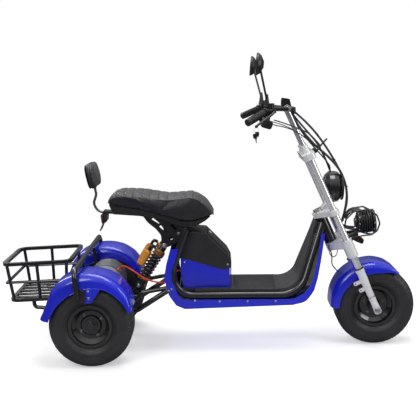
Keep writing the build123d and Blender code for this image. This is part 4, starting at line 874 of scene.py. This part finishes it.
def touch(form, start, aim, lift):
    """Where a ray meets a form, lifted off it in metres, and the normal there, or None for both."""
    spot, normal = form.ray_cast(start, aim)[:2]
    return (spot + normal * lift, normal) if spot else (None, None)


def upholstered(holder, name, node, on_top):
    """Makes the sewn form the cover of its node, and gives the tree of its surface."""
    mesh = holder.data
    mesh.materials.clear()
    mesh.materials.append(LOOKS["leather_side"])
    # Faces picked by on_top take the lighter copy of the leather: painted light on the top.
    mesh.materials.append(LOOKS["leather_painted_light"])
    for face in mesh.polygons:
        face.use_smooth = True
        face.material_index = 1 if on_top(face) else 0
    holder.name = name
    carried(holder, "chassis")
    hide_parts(node)
    return tree_of(holder)


seat_low, seat_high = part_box("seat")


def make_seat():
    holder = soft_copy("seat", (5, 6, 4), 0.0055, 4.0, 0.009, 14, lambda v: v.z < 0.70)
    mesh = holder.data
    ends = [min(v.co.x for v in mesh.vertices), max(v.co.x for v in mesh.vertices)]
    reach = (seat_high.x - seat_low.x - 0.004) / (ends[1] - ends[0])
    for v in mesh.vertices:
        v.co.x = seat_low.x + 0.002 + (v.co.x - ends[0]) * reach
    bin_long, channel_lean = 0.006, 0.05
    bins = {}
    for v in mesh.vertices:
        if abs(v.co.y) < 0.03:
            key = round(v.co.x / bin_long)
            bins[key] = max(bins.get(key, -9), v.co.z)
    keys = sorted(bins)

    def crest(x):
        """Height of the top's middle line."""
        key = min(max(round(x / bin_long), keys[0]), keys[-1])
        near = [bins[k] for k in range(key - 2, key + 3) if k in bins]
        return sum(near) / len(near) if near else bins[keys[0]]

    def seam_drop(x):
        """Height of the side seam under the crest: deeper at the tail, none at the nose."""
        share = (x - seat_low.x) / (seat_high.x - seat_low.x)
        return 0.031 - 0.012 * max(0, share - 0.45) / 0.55 + 0.014 * max(0, share - 0.86) / 0.14

    def lowered(level, y):
        """How far the crowned top lies under the solid's flat one."""
        t = min(1.0, max(0.0, (level + 0.012) / 0.03))
        return (0.017 + 0.011 * (min(abs(y), 0.14) / 0.14) ** 2) * t * t * (3 - 2 * t)

    spacing = 0.043
    first = seat_low.x + 0.052
    last = seat_high.x - 0.085
    normals = [v.normal.copy() for v in mesh.vertices]
    above = []
    for v, normal in zip(mesh.vertices, normals):
        x, y, z = v.co
        above.append(z - (crest(x) - seam_drop(x)))
        level = above[-1]
        push = 0.0
        if abs(level) < 0.02:
            push -= 0.003 * math.exp(-((level / 0.0026) ** 2))
        if level > 0 and first - spacing / 2 < x < last + spacing / 2:
            step = (x + channel_lean * abs(y) - first) / spacing
            near = (step - round(step)) * spacing
            fade = min(1.0, level / 0.012)
            push += fade * (0.0005 - 0.0028 * math.exp(-((near / 0.0028) ** 2))
                            - 0.0009 * math.exp(-((near / 0.011) ** 2)))
        v.co += normal * push
        v.co.z -= lowered(level, y)
    form = upholstered(holder, "seat_cover", "seat",
                       lambda face: min(above[i] for i in face.vertices) > 0)
    welts, spots = [], []
    for side in (-1, 1):
        line = []
        x = seat_low.x + 0.012
        while x < seat_high.x - 0.03:
            z = crest(x) - seam_drop(x) - lowered(0, 0.14) + 0.0012
            spot, _ = touch(form, Vector((x, side * 0.4, z)), Vector((0, -side, 0)), 0.0004)
            if spot:
                line.append(spot)
            x += 0.012
        welts.append(rod(line, 1.7, sides=8))
        for a, b in zip(line, line[1:]):
            for k in range(3):
                spot, normal = form.find_nearest(a.lerp(b, k / 3) + Vector((0, 0, 0.0055)))[:2]
                spots.append((spot + normal * 0.0003, b - a, 1.7 / 1000))
    piece("seat_welt", *merged(*welts), "leather_side", "chassis", slot="seat_cover")
    count = int((last - first) / spacing) + 1
    for row in range(count + 1):
        x0 = first + row * spacing
        for k in range(-46, 47):
            y = k * 0.0028
            spot, normal = touch(form, Vector((x0 - channel_lean * abs(y), y, 1.2)), -UP, 0.0004)
            if spot and normal.z > 0.3:
                spots.append((spot, (channel_lean, 1, 0), 1.25 / 1000))
    # The stitches take the light grey thread, partly a painted highlight.
    placed("seat_stitches", "stitch", spots, "thread_and_highlight", "chassis", uneven=0.15, seed=11)


make_seat()

REST_TILT = math.radians(12)
REST_OUT = Vector((math.cos(REST_TILT), 0, math.sin(REST_TILT)))
REST_UP = Vector((-math.sin(REST_TILT), 0, math.cos(REST_TILT)))
rest_centre = at(-18, 0, 888)


def make_backrest():
    half_wide, half_high = 0.108, 0.06
    holder = soft_copy("backrest_pad", (3, 5, 5), 0.004, 4.0, 0.006, 10,
                       lambda v: (v - rest_centre).dot(REST_OUT) < -0.012)
    mesh = holder.data
    normals = [v.normal.copy() for v in mesh.vertices]
    for v, normal in zip(mesh.vertices, normals):
        local = v.co - rest_centre
        out, y, up = local.dot(REST_OUT), local.y, local.dot(REST_UP)
        push = -0.0022 * math.exp(-(((out - 0.004) / 0.0022) ** 2))
        if out > 0.006:
            fall = (y / half_wide) ** 2 + (up / half_high) ** 2
            push += 0.003 * max(0.0, 1 - fall)
            push -= 0.0024 * math.exp(-(((fall - 0.5) / 0.05) ** 2))
        v.co += normal * push
    form = upholstered(holder, "backrest_cover", "backrest_pad",
                       lambda face: (face.center - rest_centre).dot(REST_OUT) > 0.004)
    line, spots = [], []
    for k in range(96):
        a = TURN * k / 96
        aim = Vector((0, math.cos(a) * 0.115, 0)) + REST_UP * math.sin(a) * 0.067
        start = rest_centre + REST_OUT * 0.005 + aim * 2
        spot, _ = touch(form, start, -aim.normalized(), 0.0003)
        if spot:
            line.append(spot)
    welt = rod(line, 1.6, closed=True, sides=8)
    piece("backrest_welt", *welt, "leather_side", "chassis", slot="seat_cover")
    for k in range(150):
        a = TURN * k / 150
        r = math.sqrt(0.5)
        start = (rest_centre + Vector((0, math.cos(a) * half_wide * r, 0))
                 + REST_UP * math.sin(a) * half_high * r + REST_OUT * 0.1)
        spot, _ = touch(form, start, -REST_OUT, 0.0004)
        tangent = Vector((0, -math.sin(a) * half_wide, 0)) + REST_UP * math.cos(a) * half_high
        if spot:
            spots.append((spot, tangent, 1.25 / 1000))
    placed("backrest_stitches", "stitch", spots, "thread_and_highlight", "chassis", uneven=0.15, seed=12)
    shell = slab(rest_centre - REST_OUT * 0.0188, Vector((0, 1, 0)), REST_UP * -1, 108, 60, 2.6,
                 corner=46, edge=1.2, steps=10)
    piece("backrest_shell", *shell, "seat_base", "chassis", slot="seat_base")


make_backrest()


# Fenders: the solids' drums, drawn in towards the tyre at their ends, with a rolled edge
def curve_at(table, angle):
    """Value of a table of (angle, value) at an angle, along a smooth line."""
    for (a0, v0), (a1, v1) in zip(table, table[1:]):
        if angle <= a1:
            t = max(0.0, (angle - a0) / (a1 - a0))
            t = t * t * (3 - 2 * t) * 0.5 + t * 0.5
            return v0 + (v1 - v0) * t
    return table[-1][1]


def fender(centre, half, wall, corner, crown, skirt, steps=80):
    """A U section rolled round the wheel, its crown and skirt heights changing with the angle."""
    start, end = crown[0][0], crown[-1][0]
    verts, edges = [], ([], [])
    for k in range(steps + 1):
        angle = start + (end - start) * k / steps
        high, low = curve_at(crown, angle), curve_at(skirt, angle)
        bend = min(corner, (high - low) * 0.9, half * 0.9)
        inner = max(bend - wall, 1.0)
        outer_line = rounded([(-half, low), (-half, high), (half, high), (half, low)],
                             [0, bend, bend, 0], 8)
        inner_line = rounded([(wall - half, low), (wall - half, high - wall),
                              (half - wall, high - wall), (half - wall, low)],
                             [0, inner, inner, 0], 8)
        a = math.radians(angle)
        for spot in outer_line + inner_line[::-1]:
            verts.append(centre + Vector((spot.y * math.cos(a), spot.x, spot.y * math.sin(a))) / 1000)
        for line, y in zip(edges, (-half + wall / 2, half - wall / 2)):
            line.append(centre + Vector((low * math.cos(a), y, low * math.sin(a))) / 1000)
    ring = len(outer_line) * 2
    faces = joined(steps + 1, ring, caps=False)
    for base in (0, steps * ring):
        for i in range(len(outer_line) - 1):
            faces.append((base + i, base + i + 1, base + ring - 2 - i, base + ring - 1 - i))
    return merged((verts, faces), *[rod(line, wall * 0.72, sides=8) for line in edges])


def prism(outline, y0, y1):
    """A flat plate between two sides, from its (ahead, height) outline in mm."""
    return [at(x, y, z) for y in (y0, y1) for x, z in outline], joined(2, len(outline))


for side, word in SIDES:
    drum = fender(
        at(0, side * WHEEL_SIDE, AXLE_HIGH), 103, 4.0, 40,
        [(22, 216), (30, 228), (42, 243), (58, 256), (72, 262), (93, 264), (122, 264), (134, 256),
         (145, 241), (154, 235), (162, 236), (170, 242)],
        [(22, 204), (47, 203), (66, 205), (85, 197), (110, 188), (134, 188), (156, 192), (170, 200)],
    )
    tab = prism([(-66, 398), (-60, 384), (-38, 342), (-28, 333), (-8, 328), (8, 329), (18, 336),
                 (60, 398)], side * 409.2, side * 413.0)
    shaped = piece(f"fender_skin_{word}", *merged(drum, tab), "body_blue", "chassis", "body_blue")
    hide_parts("rear_fender_" + word)
front_skin = piece("front_fender_skin", *fender(
    mm(FRONT_AXLE, 0, AXLE_HIGH), 96, 3.0, 38,
    [(57, 213), (63, 218), (78, 231), (93, 236), (140, 236), (158, 232), (181, 226)],
    [(57, 208), (65, 199), (83, 182), (110, 176), (132, 177), (148, 181), (165, 184), (181, 186)],
), "body_blue", "steering", "body_blue")
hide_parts("front_fender")


# Backrest's bent stem, leg shield's side strips, basket's middle rail
stem_line = [(-12, 838), (-13, 815), (-6, 790), (-14, 765), (-22, 744), (-12, 716), (4, 700),
             (24, 694), (60, 692), (96, 690)]
stem = piece("backrest_stem_bar", *rod([at(x, 0, z) for x, z in stem_line], 6.5, sides=16),
             "stem_grey", "chassis", "frame_black")
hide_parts("backrest_stem")


def basket_at(x, y, z):
    """A point of the tilted basket, from the middle of its floor, in mm."""
    lean = math.radians(2.6)
    return at(-279, 0, BASKET_LOW) + mm(x * math.cos(lean) - z * math.sin(lean), y,
                                        x * math.sin(lean) + z * math.cos(lean))


rails = [rod([basket_at(-156, side * 179, 94), basket_at(156, side * 179, 94)], 7, smooth=False,
             sides=12) for side in (-1, 1)]
piece("basket_rails", *merged(*rails), "frame_black", "chassis", slot="frame_black")
back_line = [(300, 1040), (346, 1081), (395, 1098), (492, 1120), (588, 1135)]
heights = range(335, 576, 10)
strips = []
for side in (-1, 1):
    verts = []
    for z in heights:
        skin_x = 0.0
        for (z0, x0), (z1, x1) in zip(back_line, back_line[1:]):
            if z0 <= z <= z1:
                skin_x = x0 + (x1 - x0) * (z - z0) / (z1 - z0)
        tube_x, tube_y = 1024 + (z - 289) * 0.343, 146 - (z - 289) * 0.2752
        skin_y = BODY_SIDE - (z - 300) * 0.2833
        near, far = Vector((tube_x + 14, tube_y + 7)), Vector((skin_x + 6, skin_y - 6))
        across = Vector((-(far - near).y, (far - near).x)).normalized() * 1.5
        for spot in (near + across, far + across, far - across, near - across):
            verts.append(at(spot.x, side * spot.y, z))
    strips.append((verts, joined(len(heights), 4)))
piece("shield_strips", *merged(*strips), "deck_black", "chassis", slot="deck_black")


# Fasteners on the body, frame and fenders
screws = side_spots([
    (380, BODY_SIDE, 329, 4.2), (496, BODY_SIDE, 269, 4.2), (620, BODY_SIDE, 263, 4.2),
    (760, BODY_SIDE, 263, 4.2), (900, BODY_SIDE, 263, 4.2), (444, 112, 454, 4.0),
    (662, 112, 440, 4.0), (1, FENDER_SIDE, 387, 4.6), (3, FENDER_SIDE, 354, 4.6),
])
placed("body_screws", "screw", screws, "zinc", "chassis", spin=ANY_SPIN, seed=2)
nuts = side_spots([(343, 104, 538, 9.5), (415, 93, 599, 7.5), (365, 160, 322, 9.0),
                   (206, 85, 325, 7.5)])
placed("frame_nuts", "nut", nuts, "zinc", "chassis", spin=1.0, seed=4)


# Drive motor: cooling ribs, end screws, end covers and casing screws
motor = at(36, 0, 338)
ribs = [(motor + Vector((0, y / 1000, 0)), (0, 1, 0), 95.5 / 1000) for y in range(-66, 67, 12)]
placed("motor_ribs", "fin", ribs, "casting", "chassis")
spots = []
for side in (-1, 1):
    angles = [22.5 + 45 * k for k in range(8)]
    spots += circle_spots(motor, 0.066, side * 0.0895, angles, side, 4.2)
placed("motor_screws", "screw", spots, "zinc", "chassis", spin=ANY_SPIN, seed=8)
for side, word in SIDES:
    turned(f"motor_end_{word}", motor + Vector((0, side * 0.0945, 0)), (0, side, 0),
           [(0, 46), (5, 45), (7, 42), (7, 24), (11, 22), (12, 18), (12, 8), (10, 6)],
           "casting", "chassis", 48, slot="casting")
spots = circle_spots(at(0, -22.5, AXLE_HIGH), 0.064, 0, range(200, 360, 16), -1, 3.6)
placed("casing_screws", "screw", spots, "zinc", "chassis", spin=ANY_SPIN, seed=9)


# Shock absorbers: adjuster rings and reservoir caps
for side, word in SIDES:
    foot = shock_foot + Vector((0, side * 0.068, 0))
    back = Vector((-shock_dir.z, 0, shock_dir.x))
    rings = stacked_spots(foot, shock_dir, 0.0365, 0.0028, 4, 28.9)
    rings += stacked_spots(foot, shock_dir, 0.193, 0.004, 5, 28.9)
    placed(f"shock_rings_{word}", "rib", rings, "gold", "chassis")
    can = foot + shock_dir * 0.096 + back * 0.052
    rings = stacked_spots(can, shock_dir, 0.012, 0.006, 3, 21.6)
    rings += stacked_spots(can, shock_dir, 0.062, 0.006, 3, 21.6)
    placed(f"reservoir_rings_{word}", "rib", rings, "gold", "chassis")
    turned(f"reservoir_valve_{word}", can - shock_dir * 0.001, -shock_dir,
           [(0, 9), (4, 9), (5, 6), (9, 5.4), (10, 4)], "spring_black", "chassis", 20)


# Deck: ribbed tread and the hatch's lock and ribs
ribs = [slab(at(800, k * 14.2, DECK_TOP), (1, 0, 0), (0, 1, 0), 106, 3.0, 2.2, corner=2.9, edge=1.0)
        for k in range(-9, 10)]
for side in (-1, 1):
    for y in (121, 130, 139):
        ribs.append(slab(at(600, side * y, DECK_TOP), (1, 0, 0), (0, 1, 0), 76, 2.4, 2.0, corner=2.3,
                         edge=0.9))
piece("deck_tread", *merged(*ribs), "deck_black", "chassis", slot="deck_black")
slope = (at(661, 0, 489) - at(553, 0, 600)).normalized()
slope_out = Vector((-slope.z, 0, slope.x))
hatch_top = at(553, 0, 600) + slope_out * 0.0053
lock = hatch_top + slope * 0.026
turned("hatch_lock", lock, slope_out, [(0, 11), (2, 11), (3, 10), (3, 8.2), (2.2, 8), (2.2, 2)],
       "chrome", "battery_hatch", 28, slot="chrome")
ribs = [slab(hatch_top + slope * (0.056 + 0.018 * k), (0, 1, 0), -slope, 52, 2.6, 1.6, corner=2.5,
             edge=0.7) for k in range(5)]
piece("hatch_ribs", *merged(*ribs), "shell_black", "battery_hatch", slot="shell_black")


# Grips, switches and mirror boots
for side, word in SIDES:
    axis = grip_axis(side)
    rings = [(on_grip(side, 6 + 5.2 * k), axis, 17.9 / 1000) for k in range(22)]
    placed(f"grip_ribs_{word}", "rib", rings, "rubber", "steering")
    turned(f"grip_end_{word}", on_grip(side, -5.5), -axis,
           [(0, 17.4), (2, 18), (4.5, 17.6), (6.5, 15), (7.5, 10), (7.8, 3)], "rubber", "steering",
           32, slot="rubber")
    turned(f"grip_flange_{word}", on_grip(side, 119), axis,
           [(0, 17.5), (2, 22), (5.4, 22), (6, 17.5)], "rubber", "steering", 36, slot="rubber")
    pod_along = 141
    pod = on_grip(side, pod_along)
    out = Vector((-GRIP_AHEAD.x, -side * GRIP_AHEAD.y, 0))
    buttons = []
    for shift, up, width in ((-7, 9, 4.4), (4, 9, 4.4), (-2, -3, 6.5)):
        spot = pod + axis * shift / 1000 + out * 0.0196 + Vector((0, 0, up / 1000))
        buttons.append(slab(spot, axis, out.cross(axis), width, 3.6, 3.6, corner=2, edge=1))
    piece(f"switches_{word}", *merged(*buttons), "control_black", "steering", slot="control_black")
    turned(f"mirror_boot_{word}", on_grip(side, pod_along, 0, 22), UP,
           [(-3, 14.5), (5, 14.5), (7, 12), (12, 12.6), (14, 11), (20, 11.6), (22, 10), (30, 10.2),
            (32, 8.8), (42, 8.6), (44, 7), (56, 6.6), (58, 5.2)], "rubber", "steering", 28,
           slot="rubber")
    turned(f"brake_cup_{word}", on_grip(side, 152, 17, 12), UP,
           [(-4, 11), (-2, 14.5), (14, 15), (15, 16.5), (20, 16.5), (22, 15), (22, 5)],
           "control_black", "steering", 32, slot="control_black")
    head = at(804, side * 300, 1430)
    facing = Vector((-1, 0, 0.1)).normalized()
    turned(f"mirror_bezel_{word}", head, facing,
           [(1.5, 51.6), (6.5, 52.0), (7.4, 51), (7.4, 48.6), (5.6, 47.6), (5.2, 47)],
           "control_black", "steering", 64, ring=True, slot="control_black")

for side, word in SIDES:
    turned(f"lever_ball_{word}", on_grip(side, -2, 50, -18), grip_axis(side),
           [(-7, 2), (-5.5, 5), (-2.5, 7), (0, 7.4), (2.5, 7), (5.5, 5.8)], "control_black",
           "steering", 20)


# Lower lamp's finned housing and lens, lamp lenses, indicator lenses and display glass
lamp = at(1316, 0, 628)
lamp_dir = Vector((1, 0, 0.1)).normalized()
fins = [(14, 42), (16, 53), (21, 54), (23, 44)]
for k in range(5):
    base = 28 + 12 * k
    fins += [(base, 44.5), (base + 1, 57), (base + 6, 57), (base + 7, 44.5)]
fins += [(88, 47), (90, 60), (100, 60), (103, 56), (103, 48), (97, 46)]
turned("lower_lamp_fins", lamp, lamp_dir, [(8, 34)] + fins, "control_black", "steering", 48,
       slot="lamp_black")
turned("lower_lamp_lens", lamp + lamp_dir * 0.0975, lamp_dir, [(-2, 46.5), (3, 46), (5, 30), (6, 3)],
       "lens", "steering", 48)
cells = [(lamp + lamp_dir * 0.1035 + Vector((0, y, z)) / 1000, lamp_dir, 6.0 / 1000)
         for y, z in ((-20, 12), (0, 22), (20, 12), (-20, -12), (0, -22), (20, -12), (0, 0))]
placed("lower_lamp_cells", "screw", cells, "lamp_cell", "steering", seed=21)
bolts = []
for k in range(10):
    a = TURN * k / 10
    ring_out = Vector((0, math.cos(a), math.sin(a)))
    bolts.append((lamp + lamp_dir * 0.095 + ring_out * 0.0585, ring_out, 4.0 / 1000))
    bolts.append((lamp + lamp_dir * 0.019 + ring_out * 0.0525, ring_out, 3.2 / 1000))
placed("lower_lamp_bolts", "screw", bolts, "zinc", "steering", spin=ANY_SPIN, seed=22)
hoops = []
for y in (-36, -12, 12, 36):
    hoops.append(rod([at(1262, y * 0.8, 655), at(1285, y, 688), at(1318, y, 702), at(1352, y, 690),
                      at(1370, y, 676)], 4.2, sides=8))
for y in (-30, 30):
    hoops.append(rod([at(1330, y, 590), at(1372, y, 572), at(1404, y, 574)], 4.0, sides=8))
    hoops.append(rod([at(1262, y, 610), at(1290, y, 598), at(1322, y, 600)], 5.5, sides=8))
piece("lower_lamp_hoops", *merged(*hoops), "spring_black", "steering", slot="lamp_black")

lamp_form = tree_of(frame["nodes"]["round_lamp"])
front, _ = touch(lamp_form, at(1500, 0, 816), -AHEAD, 0)
turned("round_lamp_lens", front, AHEAD, [(-1, 62), (2, 61.5), (6, 48), (8.5, 26), (9.4, 3)], "lens",
       "steering", 64)
turned("round_lamp_bezel", front, AHEAD, [(-2, 70), (3, 69), (5, 66), (5, 62.5), (2, 61), (-2, 61)],
       "lamp_black", "steering", 64, ring=True, slot="lamp_black")
lenses = [slab(at(1341, side * 78, 563), (0, 1, 0), (-1, 0, 1), 6.6, 12, 2.4, corner=3, edge=1)
          for side in (-1, 1)]
piece("indicator_lenses", *merged(*lenses), "amber", "steering", slot="amber")
glass = slab(at(938.8, 0, 1243), (0.04, 0, 1), (0, 1, 0), 18.5, 18.5, 1.6, corner=4, edge=0.6)
piece("display_glass", *glass, "dark_glass", "steering")

# Bar cover, throttle box and pod under the near grip, keys, bridge clip, looms and loose wire
cover = slab(at(985, 0, 1188), (1, 0, 0), (0, 1, 0), 22, 50, 34, corner=9, edge=4)
barrel = lathe(at(968, 30, 1206), (-0.5, 0, 0.86),
               [(0, 13), (16, 13), (18, 11.5), (18, 7), (16, 6.5)], 24)
piece("bar_cover", *merged(cover, barrel), "control_black", "steering", slot="control_black")
throttle = on_grip(-1, 84, 6, -25)
turned("throttle_box", throttle, grip_axis(-1),
       [(0, 5), (2, 11), (7, 14), (16, 15), (27, 14.5), (34, 12), (38, 7), (39, 3)],
       "lamp_black", "steering", 28, slot="control_black")
pod = slab(at(848, -246, 1152), (0.95, 0, -0.3), (0.3, 0, 0.95), 27, 20, 44, corner=13, edge=5)
neck = rod([at(856, -250, 1166), at(860, -240, 1188), at(866, -226, 1208)], 8, sides=16)
piece("pod_shell_right", *merged(pod, neck), "control_black", "steering", slot="control_black")
key_ring = on_grip(-1, -3, 50, -34)
loop = [key_ring + Vector((math.cos(0.5 * k), 0.35 * math.sin(0.5 * k), math.sin(0.5 * k))) * 0.0115
        for k in range(12)]
piece("key_ring", *rod(loop, 0.9, closed=True, sides=8), "zinc", "steering")
keys, heads = [], []
for shift, lean, drop in ((4, 0.12, 15), (-6, -0.2, 24)):
    top = key_ring + Vector((shift, 0, -drop)) / 1000
    down = Vector((-lean, 0, -1)).normalized()
    across = Vector((down.z, 0, -down.x))
    out = Vector((0, -1, 0))
    heads.append(slab(top + down * 0.004 - out * 0.002 + out * shift * 0.0006, across, out.cross(across),
                      9.5, 11.5, 4.2, corner=5, edge=1))
    blade = [(-2.6, 8), (2.6, 8), (2.6, 32), (1.0, 37), (-1.2, 37), (-2.6, 33), (-1.4, 31),
             (-2.6, 28.5), (-1.2, 26), (-2.6, 23.5), (-2.6, 20)]
    spots = []
    for thick in (-0.6, 0.6):
        spots += [top + across * x / 1000 + down * d / 1000 + out * (thick + shift * 0.6) / 1000
                  for x, d in blade]
    keys.append((spots, joined(2, len(blade))))
piece("key_heads", *merged(*heads), "control_black", "steering")
piece("key_blades", *merged(*keys), "zinc", "steering", smooth=False)
clip = slab(fork_at(33, -40, 860), (0, 1, 0), FORK_UP, 11, 13, 20, corner=3, edge=1.5)
lever = rod([at(1112, -40, 1003), at(1128, -40, 1022), at(1146, -41, 1046), at(1164, -42, 1064)],
            4.6, sides=10)
piece("bridge_clip", *merged(clip, lever), "control_black", "steering", slot="control_black")
looms = [
    (5.6, [(994, -18, 1206), (1030, -20, 1174), (1068, -22, 1139), (1117, -22, 1084),
           (1161, -22, 1023), (1204, -22, 955), (1246, -22, 875), (1269, -22, 819),
           (1271, -22, 744), (1256, -20, 668), (1252, -18, 640)]),
    (5.0, [(986, 14, 1199), (1029, 13, 1144), (1079, 12, 1088), (1122, 12, 1039),
           (1160, 12, 968), (1186, 12, 905), (1192, 10, 884)]),
    (3.0, [(892, -150, 1164), (911, -120, 1158), (968, -80, 1137), (1016, -55, 1118),
           (1064, -35, 1097), (1101, -27, 1066), (1132, -25, 1030)]),
]
for k, (radius, spots) in enumerate(looms):
    piece(f"loom_{k + 1}", *rod([at(*spot) for spot in spots], radius, sides=12), "cable_black",
          "steering", slot="rubber")
ties = []
for x, z, dx, dz in ((1117, 1084, 0.67, -0.74), (1204, 955, 0.5, -0.87), (1269, 819, 0.1, -1)):
    ties.append(lathe(at(x, -22, z), (dx, 0, dz), [(-2, 6.0), (-2, 6.8), (2, 6.8), (2, 6.0)], 20,
                      ring=True))
piece("loom_ties", *merged(*ties), "control_black", "steering")
wire = rod([at(x, -40, z) for x, z in ((1180, 520), (1181, 492), (1190, 464), (1206, 455),
                                       (1222, 468), (1226, 496), (1225, 520))], 2.2, sides=8)
piece("clamp_wire", *wire, "cable_black", "steering", slot="rubber")

# The copied forms go
for holder in FORMS.values():
    bpy.data.objects.remove(holder)
